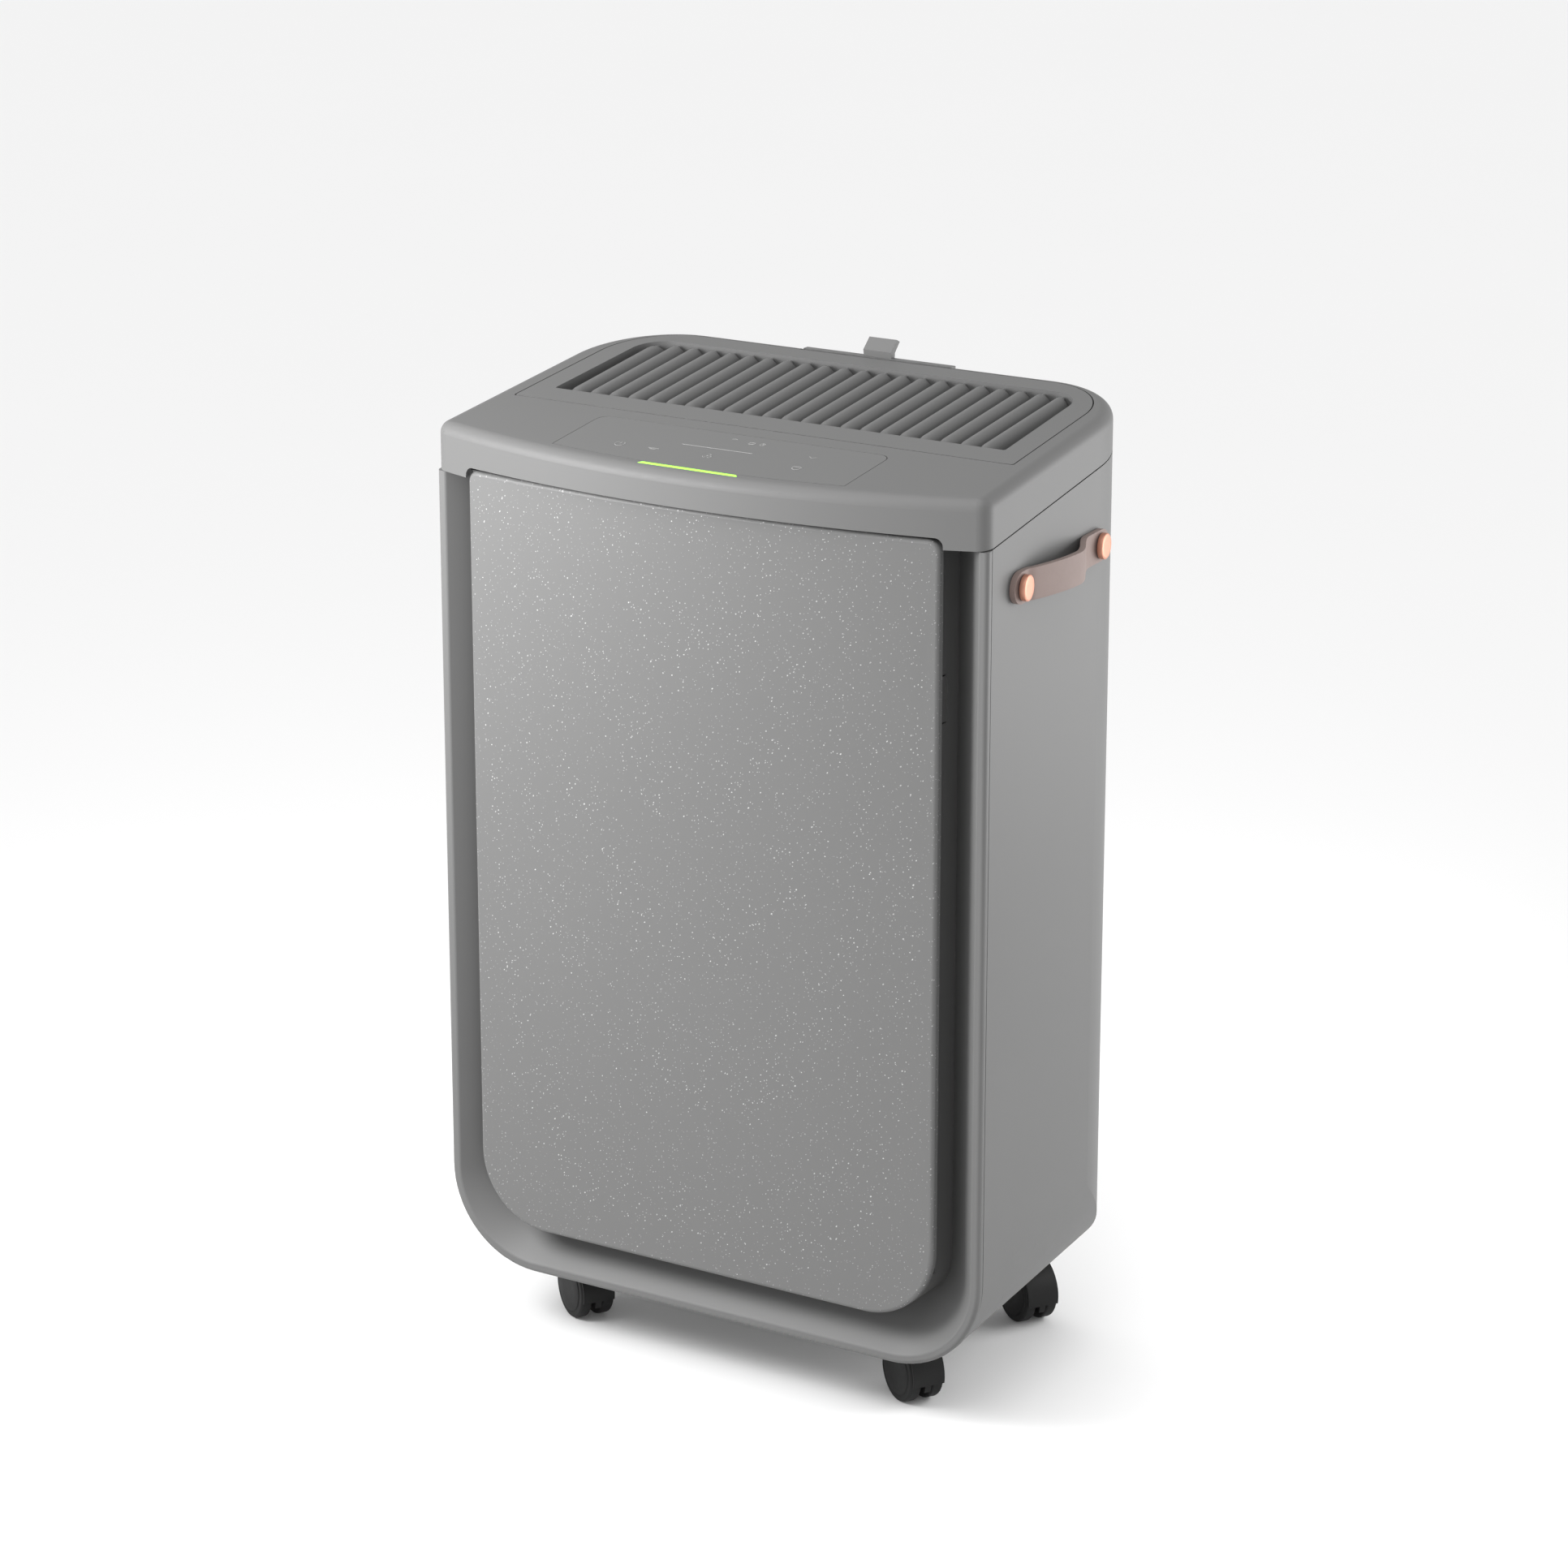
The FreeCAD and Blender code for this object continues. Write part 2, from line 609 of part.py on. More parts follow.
def caster_wheel(c, side):
    middle = c + X * (side * wheel_pitch / 2)
    disc = rod(wheel_r, middle - X * (wheel_t / 2), middle + X * (wheel_t / 2))
    disc = disc.makeFillet(1.6, [e for e in disc.Edges if e.Length > 50 and e.BoundBox.XLength < 0.1])
    face = middle + X * (side * wheel_t / 2)
    dish = rod(wheel_r - dish_rim, face - X * (side * dish_deep), face + X * side)
    return disc.cut(dish).cut(rod(axle_r + run_gap, c - X * 30, c + X * 30))


def caster(centre):
    """Hood, axle and a pair of wheels, drawn with the axle along +X and then turned."""
    c = V(0, 0, wheel_r)
    hood = caster_hood(c, V(0, -trail, 0))
    axle = rod(axle_r, c - X * (wheel_pitch / 2 + 2.5), c + X * (wheel_pitch / 2 + 2.5))
    wheels = Part.makeCompound([caster_wheel(c, side) for side in (-1, 1)])
    shapes = [hood, axle, wheels]
    for shape in shapes:
        shape.rotate(V(0, 0, 0), Z, caster_turn)
        shape.translate(V(centre.x, centre.y, 0))
    return shapes


def strap(side):
    """Leather strap: two flat ends under the pins, a flat grip bowed away from the side."""
    def at(y, out):
        return V(side * (half_width(y) + out), y, 0)
    near, far = pin_front_y, pin_rear_y
    base, bulge = strap_rest, strap_bulge
    centre = [(near - strap_over, base), (near + 11, base), (near + 26, bulge), (far - 26, bulge),
              (far - 11, base), (far + strap_over, base)]
    inner = [at(y, out) for y, out in centre]
    outer = [at(y, out + strap_t) for y, out in centre]
    ring = inner + outer[::-1]
    sheet = Part.Face(Part.makePolygon(ring + ring[:1])).extrude(Z * (2 * strap_half))
    sheet.translate(Z * (pin_z - strap_half))
    y0, y1 = near - strap_over, far + strap_over
    corners = [(y0, pin_z - strap_half), (y1, pin_z - strap_half), (y1, pin_z + strap_half),
               (y0, pin_z + strap_half)]
    wire = outline(corners, [strap_half - 0.5] * 4, lambda p: V(side * 150, p.x, p.y))
    rounded = Part.Face(wire).extrude(X * (side * 80))
    bores = [rod(pin_hole_r, V(side * 150, y, pin_z), V(side * 220, y, pin_z)) for y in (near, far)]
    return cut(sheet.common(rounded), *bores)


def strap_pin(side, y):
    def at(out):
        return V(side * (half_width(y) + out), y, pin_z)
    face = 2 * strap_rest + strap_t
    head = rod(pin_head_r, at(face), at(face + pin_head_t))
    rim = [e
           for e in head.Edges if e.Length > 40 and abs(e.BoundBox.Center.x - at(face + pin_head_t).x) < 0.1]
    head = head.makeFillet(0.5, rim)
    return fused([head, rod(shank_r, at(-nut_depth - 2), at(face + 1)),
                  rod(nut_r, at(-nut_depth), at(nut_t - nut_depth))])


def strap_pins():
    return Part.makeCompound([strap_pin(side, y) for side in (-1, 1) for y in (pin_front_y, pin_rear_y)])


def rear_cover():
    top = seam_z + seam_slope * (rear_y - rim_y)
    half = cover_half - part_gap
    corners = [(-half, cover_low + part_gap), (half, cover_low + part_gap), (half, top + 3),
               (-half, top + 3)]
    cover = upright(corners, [11.5, 11.5, 0, 0], rear_y - wall, rear_y)
    lug = upright([(-half - 8, cover_low - 8), (half + 8, cover_low - 8), (half + 8, top - 20),
                   (-half - 8, top - 20)],
                  [12] * 4, rear_y - wall - 2.4, rear_y - wall)
    cover = fused([cover, lug.common(body_block(wall + 0.1))])
    recess = box(-cassette_half - 1, cassette_half + 1, rear_y - cassette_t - 0.8, rear_y + 5,
                 cassette_low - 1, top + 30)
    hinge = V(0, *cassette_hinge)
    bores = rod(cassette_pin_r + run_gap, hinge - X * (cassette_half + 7), hinge + X * (cassette_half + 7))
    cheeks = [box(s * (cassette_half + 4) - 3, s * (cassette_half + 4) + 3, rear_y - 10, rear_y - 0.2,
                  cassette_low - 6, cassette_low + 14) for s in (-1, 1)]
    cover = fused([cover.cut(recess)] + cheeks)
    holes = [rod(outlet_hole_r, V(x, 60, z), V(x, 140, z)) for x,
             z in ((drain_x, drain_z), (cord_x, cord_z))]
    holes += [rod(screw_r + run_gap, V(x, 60, z), V(x, 140, z)) for x, z in screw_spots()]
    seam = above_plane(seam_z - part_gap, seam_slope)
    return cut(cover, bores, seam, *holes)


def screw_spots():
    return [(x, z) for x in (-screw_x, screw_x) for z in screw_z]


def cassette_shoulder():
    return seam_z + seam_slope * (rear_y - rim_y) - 4


def cassette_window(y0, y1):
    half, low, high = cassette_half - cassette_rim, cassette_low + 12, cassette_shoulder() - 14
    return upright([(-half, low), (half, low), (half, high), (-half, high)], [4] * 4, y0, y1)


def filter_cassette():
    top, shoulder = deck_at(rear_y) - 1.0, cassette_shoulder()
    y0, y1 = rear_y - cassette_t, rear_y - 0.2
    frame = upright([(-cassette_half, cassette_low), (cassette_half, cassette_low),
                     (cassette_half, shoulder),
                     (-cassette_half, shoulder)], [4, 4, 8, 8], y0, y1)
    neck = box(-cassette_neck_half, cassette_neck_half, y0, y1, shoulder - 6, top)
    low, high = cassette_low + 12, shoulder - 14
    reach = cassette_half - cassette_rim + 1
    bars = [box(x - 2, x + 2, y0 + 2.2, y1, low - 2, high + 2) for x in cassette_ribs]
    for i in range(1, louvre_rows):
        z = low + (high - low) * i / louvre_rows
        bars.append(box(-reach, reach, y0 + 2.2, y1, z - louvre_t / 2, z + louvre_t / 2))
    hinge = V(0, *cassette_hinge)
    pins = [rod(cassette_pin_r, hinge + X * s * (cassette_half - 4),
                hinge + X * s * (cassette_half + 6)) for s in (-1, 1)]
    return fused([frame.cut(cassette_window(y0 - 5, y1 + 5)), neck, pull_tab(top)] + bars + pins)


def pull_tab(top):
    y0, y1 = rear_y - cassette_t, rear_y - 0.2
    side = [V(-tab_half, y0 + 1.4, top - 3), V(-tab_half, y0 + 0.2, top + 4),
            V(-tab_half, y1 + 2.5, top + 10.5),
            V(-tab_half, y1 + 6.0, top + 8.8), V(-tab_half, y1 + 0.5, top + 3), V(-tab_half, y1, top - 3)]
    return Part.Face(Part.makePolygon(side + side[:1])).extrude(X * (2 * tab_half))


def filter_mesh():
    return cassette_window(rear_y - cassette_t, rear_y - cassette_t + 1)


def compressor_can():
    can = rod(can_r, can_centre, can_centre + Z * can_high)
    return can.makeFillet(can_edge_r, [e for e in can.Edges if e.Length > 200])


def compressor():
    y = can_centre.y
    room = rod(can_room_r, can_centre + Z * can_room_z[0], can_centre + Z * can_room_z[1])
    bottle = rod(bottle_r, V(bottle_x, y, bottle_z[0]), V(bottle_x, y, bottle_z[1]))
    strut = box(bottle_x, bottle_x + 38, y - 5, y + 5, 120, 130)
    return cut(fused([compressor_can(), bottle, strut]), room)


def compressor_feet():
    feet = []
    for angle in foot_angles:
        a = math.radians(angle)
        spot = can_centre + V(foot_ring * math.cos(a), foot_ring * math.sin(a), 0)
        feet.append(rod(foot_r, V(spot.x, spot.y, pan_floor + pan_t), V(spot.x, spot.y, 60)))
    return Part.makeCompound([foot.cut(compressor_can()) for foot in feet])


def heat_exchanger(y0, y1):
    first = -fin_pitch * (fin_count - 1) / 2
    plates = [box(x - fin_t / 2, x + fin_t / 2, y0, y1, coil_low, coil_high)
              for x in (first + fin_pitch * i for i in range(fin_count))]
    middle = (y0 + y1) / 2
    step = (coil_high - coil_low) / tube_rows
    tubes = [rod(tube_r, V(-tube_half, middle, z), V(tube_half, middle, z))
             for z in (coil_low + step * (i + 0.5) for i in range(tube_rows))]
    ends = [box(x - end_plate_t / 2, x + end_plate_t / 2, y0 - 1, y1 + 1, coil_low - end_plate_lap,
                coil_high + end_plate_lap) for x in (-end_plate_x, end_plate_x)]
    return fused(plates + tubes + ends)


def bent_pipe(points):
    """Round tube along straight runs, each corner turned at the pipe's bend radius."""
    edges = []
    last = points[0]
    for a, b, c in zip(points, points[1:], points[2:]):
        back, ahead = (a - b).normalize(), (c - b).normalize()
        half = back.getAngle(ahead) / 2
        reach = pipe_bend / math.tan(half)
        middle = b + (back + ahead).normalize() * (pipe_bend / math.sin(half) - pipe_bend)
        edges.append(Part.makeLine(last, b + back * reach))
        edges.append(Part.Arc(b + back * reach, middle, b + ahead * reach).toShape())
        last = b + ahead * reach
    edges.append(Part.makeLine(last, points[-1]))
    path = Part.Wire(edges)
    ring = Part.Wire(Part.makeCircle(pipe_r, points[0], points[1] - points[0]))
    return path.makePipeShell([ring], True, False)


def refrigerant_pipes():
    y, warm = can_centre.y, sum(evaporator_y) / 2
    suction = [V(bottle_x, y, 220), V(bottle_x, y, 262), V(-133, y, 262), V(-133, warm, 262),
               V(-133, warm, 289),
               V(-tube_half, warm, 289)]
    discharge = [V(can_centre.x, y, 243), V(can_centre.x, y, 256), V(134, y, 256), V(134, y, 290),
                 V(tube_half, y, 290)]
    return Part.makeCompound([bent_pipe(suction), bent_pipe(discharge)])


def scroll_form(radius, y0, y1, top):
    drum = rod(radius, V(0, y0, fan_z), V(0, y1, fan_z))
    return drum.fuse(box(-radius, radius, y0, y1, fan_z, top))


def fan_scroll():
    y0, y1, t = scroll_front_y, scroll_rear_y, scroll_skin
    inlet = rod(inlet_r, V(0, y1 - 10, fan_z), V(0, y1 + 10, fan_z))
    shell = cut(scroll_form(scroll_r, y0, y1, 545), scroll_form(scroll_r - t, y0 + t, y1 - t, 600), inlet)
    return cut(shell, above_plane(deck_z - 26, deck_slope))


def fan_motor():
    front = V(0, scroll_front_y + scroll_skin, fan_z)
    return cut(rod(motor_r, front, front + Y * motor_long),
               rod(shaft_r + run_gap, front + Y * 6, front + Y * 38))


def fan_shaft():
    return rod(shaft_r, V(0, scroll_front_y + 9, fan_z), V(0, scroll_front_y + 44, fan_z))


def fan_wheel():
    y0, axis = fan_back_y, V(0, fan_back_y, fan_z)
    back = rod(fan_r, axis, axis + Y * fan_disc_t)
    hub = rod(3 * shaft_r, axis, axis + Y * 12)
    rim = rod(fan_r, axis + Y * (fan_deep - fan_rim_t), axis + Y * fan_deep).cut(rod(fan_r - 14, axis,
                                                                                     axis + Y * 50))
    blades = []
    for i in range(fan_blades):
        blade = box(fan_r - 0.6 - blade_depth, fan_r - 0.6, y0 + 1, y0 + fan_deep - 2,
                    fan_z - fan_blade_t / 2,
                    fan_z + fan_blade_t / 2)
        blade.rotate(V(fan_r - 7, 0, fan_z), Y, fan_blade_lean)
        blade.rotate(V(0, 0, fan_z), Y, 360.0 * i / fan_blades)
        blades.append(blade)
    return cut(fused([back, hub, rim] + blades), rod(shaft_r, axis - Y * 5, axis + Y * 20))


def electronics_box():
    (x0, x1), (y0, y1), (z0, z1), t = case_x, case_y, case_z, case_wall
    return cut(box(x0, x1, y0, y1, z0, z1), box(x0 + t, x1 - t, y0 + t, y1 - t, z0 + t, z1 - t))


def drain_spigot():
    def at(y):
        return V(drain_x, y, drain_z)
    tube = rod(spigot_r, at(rear_y - 22), at(rear_y + 2.5)).fuse(rod(flange_r, at(rear_y - wall - 6),
                                                                     at(rear_y - wall - 2.6)))
    return cut(tube, rod(spigot_bore_r, at(rear_y - 23), at(rear_y + 16)))


def drain_cap():
    def at(y):
        return V(drain_x, rear_y + y, drain_z)
    return fused([rod(spigot_bore_r - run_gap, at(-6), at(2.6)), rod(spigot_r + 1.5, at(2.6), at(5.4))])


def cord_inlet():
    def at(y):
        return V(cord_x, y, cord_z)
    gland = rod(gland_r, at(rear_y - wall - 5), at(rear_y + 1.5))
    return cut(fused([gland, rod(flange_r, at(rear_y), at(rear_y + 2.5))]),
               rod(cord_bore_r, at(60), at(140)))


def cover_screws():
    screws = []
    for x, z in screw_spots():
        seat = V(x, rear_y, z)
        screws.append(fused([rod(screw_head_r, seat, seat + Y * 1.4),
                             rod(screw_r, seat - Y * screw_deep, seat)]))
    return Part.makeCompound(screws)


def build():
    parts = {
        "wrap_shell": wrap_shell(), "front_frame": front_frame(), "top_cap": top_cap(),
        "outlet_grille": outlet_grille(), "control_lens": control_lens(), "light_bar": light_bar(),
        "touch_board": touch_board(), "front_panel": front_panel(), "drawer_tray": drawer_tray(),
        "water_tank": water_tank(), "tank_lid": fused([tank_lid()] + float_brackets()),
        "tank_handle": tank_handle(),
        "tank_float": tank_float(), "bay_floor": bay_floor(), "base_pan": base_pan(),
        "strap_left": strap(-1), "strap_right": strap(1), "strap_pins": strap_pins(),
        "rear_cover": rear_cover(), "filter_cassette": filter_cassette(), "filter_mesh": filter_mesh(),
        "compressor": compressor(), "compressor_feet": compressor_feet(),
        "evaporator": heat_exchanger(*evaporator_y), "condenser": heat_exchanger(*condenser_y),
        "refrigerant_pipes": refrigerant_pipes(), "fan_scroll": fan_scroll(), "fan_motor": fan_motor(),
        "fan_shaft": fan_shaft(), "fan_wheel": fan_wheel(), "electronics_box": electronics_box(),
        "drain_spigot": drain_spigot(), "drain_cap": drain_cap(), "cord_inlet": cord_inlet(),
        "cover_screws": cover_screws()}
    for name, (centre, _) in caster_spots().items():
        for piece, shape in zip(("hood", "axle", "wheels"), caster(centre)):
            parts["caster_" + piece + "_" + name] = shape
    return parts


os.makedirs("parts", exist_ok=True)
for node, shape in build().items():
    shape.exportStep("parts/" + node + ".step")
    print(node, "solids", len(shape.Solids), "valid", shape.isValid(), "volume",
          round(shape.Volume / 1000, 1))
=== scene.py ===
import bpy
import bmesh
import json
import math
from mathutils import Matrix, Vector


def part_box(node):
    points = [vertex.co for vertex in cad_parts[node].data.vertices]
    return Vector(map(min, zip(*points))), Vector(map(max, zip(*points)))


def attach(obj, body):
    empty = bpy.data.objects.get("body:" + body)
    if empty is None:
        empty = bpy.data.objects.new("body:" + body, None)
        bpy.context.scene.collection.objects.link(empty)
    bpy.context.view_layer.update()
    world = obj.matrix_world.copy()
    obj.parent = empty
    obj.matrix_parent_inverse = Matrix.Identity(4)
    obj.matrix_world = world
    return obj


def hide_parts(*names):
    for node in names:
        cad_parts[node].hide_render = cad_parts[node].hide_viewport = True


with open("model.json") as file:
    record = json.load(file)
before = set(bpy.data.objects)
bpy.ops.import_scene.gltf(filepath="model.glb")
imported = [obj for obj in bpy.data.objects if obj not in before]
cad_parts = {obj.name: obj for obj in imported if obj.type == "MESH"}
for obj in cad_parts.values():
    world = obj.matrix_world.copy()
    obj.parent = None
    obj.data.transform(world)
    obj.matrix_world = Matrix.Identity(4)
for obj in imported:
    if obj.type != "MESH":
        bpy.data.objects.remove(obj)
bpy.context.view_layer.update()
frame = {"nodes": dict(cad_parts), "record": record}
nodes = frame["nodes"]
record = frame["record"]


# one socket of a material; expressions on it add Math nodes
class Wire:
    def __init__(self, tree, socket):
        self.tree = tree
        self.socket = socket

    def maths(self, operation, *others):
        node = self.tree.nodes.new("ShaderNodeMath")
        node.operation = operation
        for index, value in enumerate((self,) + others):
            if isinstance(value, Wire):
                self.tree.links.new(value.socket, node.inputs[index])
            else:
                node.inputs[index].default_value = value
        return Wire(self.tree, node.outputs[0])

    def flipped(self, operation, first):
        node = self.tree.nodes.new("ShaderNodeMath")
        node.operation = operation
        node.inputs[0].default_value = first
        self.tree.links.new(self.socket, node.inputs[1])
        return Wire(self.tree, node.outputs[0])

    def __add__(self, other):
        return self.maths("ADD", other)

    def __radd__(self, other):
        return self.maths("ADD", other)

    def __mul__(self, other):
        return self.maths("MULTIPLY", other)

    def __rmul__(self, other):
        return self.maths("MULTIPLY", other)

    def __sub__(self, other):
        return self.maths("SUBTRACT", other)

    def __rsub__(self, other):
        return self.flipped("SUBTRACT", other)


class Finish:
    def __init__(self, name, baseColor, **sockets):
        self.material = bpy.data.materials.new(name)
        self.material.use_nodes = True
        self.material.diffuse_color = (*baseColor, 1)
        self.tree = self.material.node_tree
        self.shader = self.tree.nodes["Principled BSDF"]
        self.shader.inputs["Base Color"].default_value = (*baseColor, 1)
        self.set(**sockets)

    def set(self, **sockets):
        for name, value in sockets.items():
            self.plug(self.shader.inputs[name.replace("_", " ")], value)

    def plug(self, socket, value):
        if isinstance(value, Wire):
            self.tree.links.new(value.socket, socket)
        elif isinstance(value, tuple) and len(value) == 3 and len(socket.default_value) == 4:
            socket.default_value = (*value, 1)
        else:
            socket.default_value = value

    # settings go in first, then the sockets' values or links
    def make(self, kind, settings=None, sockets=None, out=0):
        node = self.tree.nodes.new("ShaderNode" + kind)
        for name, value in (settings or {}).items():
            setattr(node, name, value)
        for name, value in (sockets or {}).items():
            self.plug(node.inputs[name], value)
        return Wire(self.tree, node.outputs[out])

    def place(self, scale=(1, 1, 1), turn=(0, 0, 0)):
        coords = self.make("TexCoord", out="Object")
        return self.make("Mapping", None, {"Vector": coords, "Scale": scale, "Rotation": turn})

    def noise(self, scale, detail=2.0, roughness=0.5):
        sockets = {"Vector": self.place(), "Scale": scale, "Detail": detail, "Roughness": roughness}
        return self.make("TexNoise", None, sockets)

    def tint(self, factor, dark, light):
        mix = self.tree.nodes.new("ShaderNodeMix")
        mix.data_type = "RGBA"
        for name, value in (("Factor", factor), ("A", dark), ("B", light)):
            self.plug([s for s in mix.inputs if s.name == name and s.enabled][0], value)
        return Wire(self.tree, [s for s in mix.outputs if s.enabled][0])

    def bump(self, height, strength, distance):
        sockets = {"Height": height, "Strength": strength, "Distance": distance}
        self.set(Normal=self.make("Bump", None, sockets))


def shade(color, factor):
    return tuple(min(1.0, c * factor) for c in color)


greys = {
    "shell": (0.167, 0.167, 0.166),
    "cap": (0.161, 0.161, 0.160),
    "panel": (0.170, 0.170, 0.169),
    "grille": (0.160, 0.160, 0.159),
    "lens": (0.156, 0.156, 0.155),
}


# spark-eroded moulded plastic: a very fine even texture and a faint mottle
def moulding(name, color, roughness=0.52, grain=0.10):
    finish = Finish(name, color, Specular_IOR_Level=0.42)
    fine = finish.noise(2600.0, 3.0, 0.6)
    broad = finish.noise(9.0, 2.0)
    finish.set(Base_Color=finish.tint(broad, shade(color, 0.975), shade(color, 1.025)),
               Roughness=roughness - 0.04 + fine * 0.08)
    finish.bump(fine, grain, 0.0002)
    return finish.material


speckles = {
    "scale": 480.0,
    "smallest": 0.105,
    "spread": 0.10,
    "edge": 0.06,
    "wobble": 0.0016,
    "white": (0.72, 0.72, 0.71),
    "faintest": 0.20,
    "strength": 0.62,
}


# grey moulding compound with fine pale flecks of several sizes
def speckledPanel(name, color):
    finish = Finish(name, color, Specular_IOR_Level=0.42)
    wobble = finish.noise(900.0, 2.0)
    point = finish.make("VectorMath", {"operation": "MULTIPLY_ADD"},
                        {0: wobble, 1: (speckles["wobble"],) * 3, 2: finish.place()})
    cells = {"Vector": point, "Scale": speckles["scale"]}
    distance = finish.make("TexVoronoi", {"feature": "F1"}, cells)
    cellColor = finish.make("TexVoronoi", {"feature": "F1"}, cells, out="Color")
    rank = finish.make("SeparateColor", None, {"Color": cellColor})
    depth = finish.make("SeparateColor", None, {"Color": cellColor}, out=1)
    reach = rank * rank * speckles["spread"] + speckles["smallest"]
    fleck = finish.make("MapRange", {"interpolation_type": "SMOOTHSTEP"},
                        {"Value": distance - reach, "From Min": speckles["edge"],
                         "From Max": -speckles["edge"]})
    strength = fleck * (depth * speckles["strength"] + speckles["faintest"])
    broad = finish.noise(7.0, 2.0)
    ground = finish.tint(broad, shade(color, 0.98), shade(color, 1.02))
    fine = finish.noise(2600.0, 3.0, 0.6)
    finish.set(Base_Color=finish.tint(strength, ground, speckles["white"]), Roughness=0.46 + fine * 0.08)
    finish.bump(fine, 0.08, 0.0002)
    return finish.material


# satin touch panel
def touchLens(name, color):
    finish = Finish(name, color, Specular_IOR_Level=0.5)
    fine = finish.noise(1800.0, 2.0)
    broad = finish.noise(12.0, 2.0)
    finish.set(Base_Color=finish.tint(broad, shade(color, 0.98), shade(color, 1.02)),
               Roughness=0.36 + fine * 0.06)
    finish.bump(fine, 0.03, 0.0001)
    return finish.material


glow = {"body": (0.30, 0.80, 0.06), "dim": (0.33, 0.86, 0.07), "bright": (0.42, 0.95, 0.10), "strength": 1.0}


def glowBar(name):
    finish = Finish(name, glow["body"], Emission_Strength=glow["strength"], Roughness=0.3)
    along = finish.noise(60.0, 1.0)
    finish.set(Emission_Color=finish.tint(along, glow["dim"], glow["bright"]))
    return finish.material


# screened print, slightly uneven in density
def printInk(name, color):
    finish = Finish(name, color, Specular_IOR_Level=0.3)
    density = finish.noise(900.0, 3.0, 0.6)
    finish.set(Base_Color=finish.tint(density, shade(color, 0.9), shade(color, 1.08)),
               Roughness=0.5 + density * 0.1)
    return finish.material


# smooth-finished leather: pores, soft creases and faint worn patches
def leather(name, color):
    finish = Finish(name, color, Specular_IOR_Level=0.35, Sheen_Weight=0.08, Sheen_Roughness=0.5)
    pores = finish.make("TexVoronoi", {"feature": "F1"}, {"Vector": finish.place(), "Scale": 1500.0})
    creases = finish.noise(420.0, 4.0, 0.6)
    patches = finish.noise(60.0, 3.0, 0.55)
    finish.set(Base_Color=finish.tint(patches, shade(color, 0.93), shade(color, 1.07)),
               Roughness=0.50 + creases * 0.16)
    finish.bump(pores * 0.5 + creases * 0.8, 0.16, 0.0003)
    return finish.material


# plated or enamelled metal with a fine satin lay
def satinMetal(name, color, roughness, metallic=1.0, lay=2200.0, grain=0.05):
    finish = Finish(name, color, Metallic=metallic)
    drawn = finish.noise(lay, 2.0, 0.5)
    broad = finish.noise(80.0, 2.0)
    finish.set(Base_Color=finish.tint(broad, shade(color, 0.95), shade(color, 1.05)),
               Roughness=roughness - 0.05 + drawn * 0.1)
    finish.bump(drawn, grain, 0.0001)
    return finish.material


def smokeTank(name, color):
    finish = Finish(name, color, Transmission_Weight=0.55, IOR=1.49, Specular_IOR_Level=0.5)
    fine = finish.noise(700.0, 2.0)
    broad = finish.noise(14.0, 2.0)
    finish.set(Base_Color=finish.tint(broad, shade(color, 0.94), shade(color, 1.04)),
               Roughness=0.30 + fine * 0.1)
    finish.bump(fine, 0.04, 0.0001)
    return finish.material


# fine net: two crossed waves raise the threads, and the colour follows them, much darker in the gaps and
# lighter on the threads: painted shade and painted light
def meshCloth(name, color):
    finish = Finish(name, color, Roughness=0.8)
    across = finish.make("TexWave", {"bands_direction": "X"}, {"Vector": finish.place(), "Scale": 160.0})
    along = finish.make("TexWave", {"bands_direction": "Z"}, {"Vector": finish.place(), "Scale": 160.0})
    thread = across.maths("MAXIMUM", along)
    # darker in the gaps between threads and lighter on their crests: painted shade and painted light
    # following the thread height
    finish.set(Base_Color=finish.tint(thread, shade(color, 0.25), shade(color, 1.3)))
    finish.bump(thread, 0.6, 0.0005)
    return finish.material


def rubberLike(name, color, roughness=0.62):
    finish = Finish(name, color, Specular_IOR_Level=0.3)
    dust = finish.noise(240.0, 4.0, 0.6)
    fine = finish.noise(2200.0, 2.0)
    finish.set(Base_Color=finish.tint(dust, shade(color, 0.8), shade(color, 1.5)),
               Roughness=roughness + dust * 0.12)
    finish.bump(fine, 0.12, 0.0002)
    return finish.material


def circuitBoard(name, color):
    finish = Finish(name, color, Specular_IOR_Level=0.5)
    sockets = {"Vector": finish.place((1, 1, 1), (0, 0, 0.78)), "Scale": 120.0, "Color1": shade(color, 0.8),
               "Color2": color, "Mortar": shade(color, 1.8), "Mortar Size": 0.03}
    finish.set(Base_Color=finish.make("TexBrick", None, sockets), Roughness=0.4 + finish.noise(300.0) * 0.1)
    return finish.material


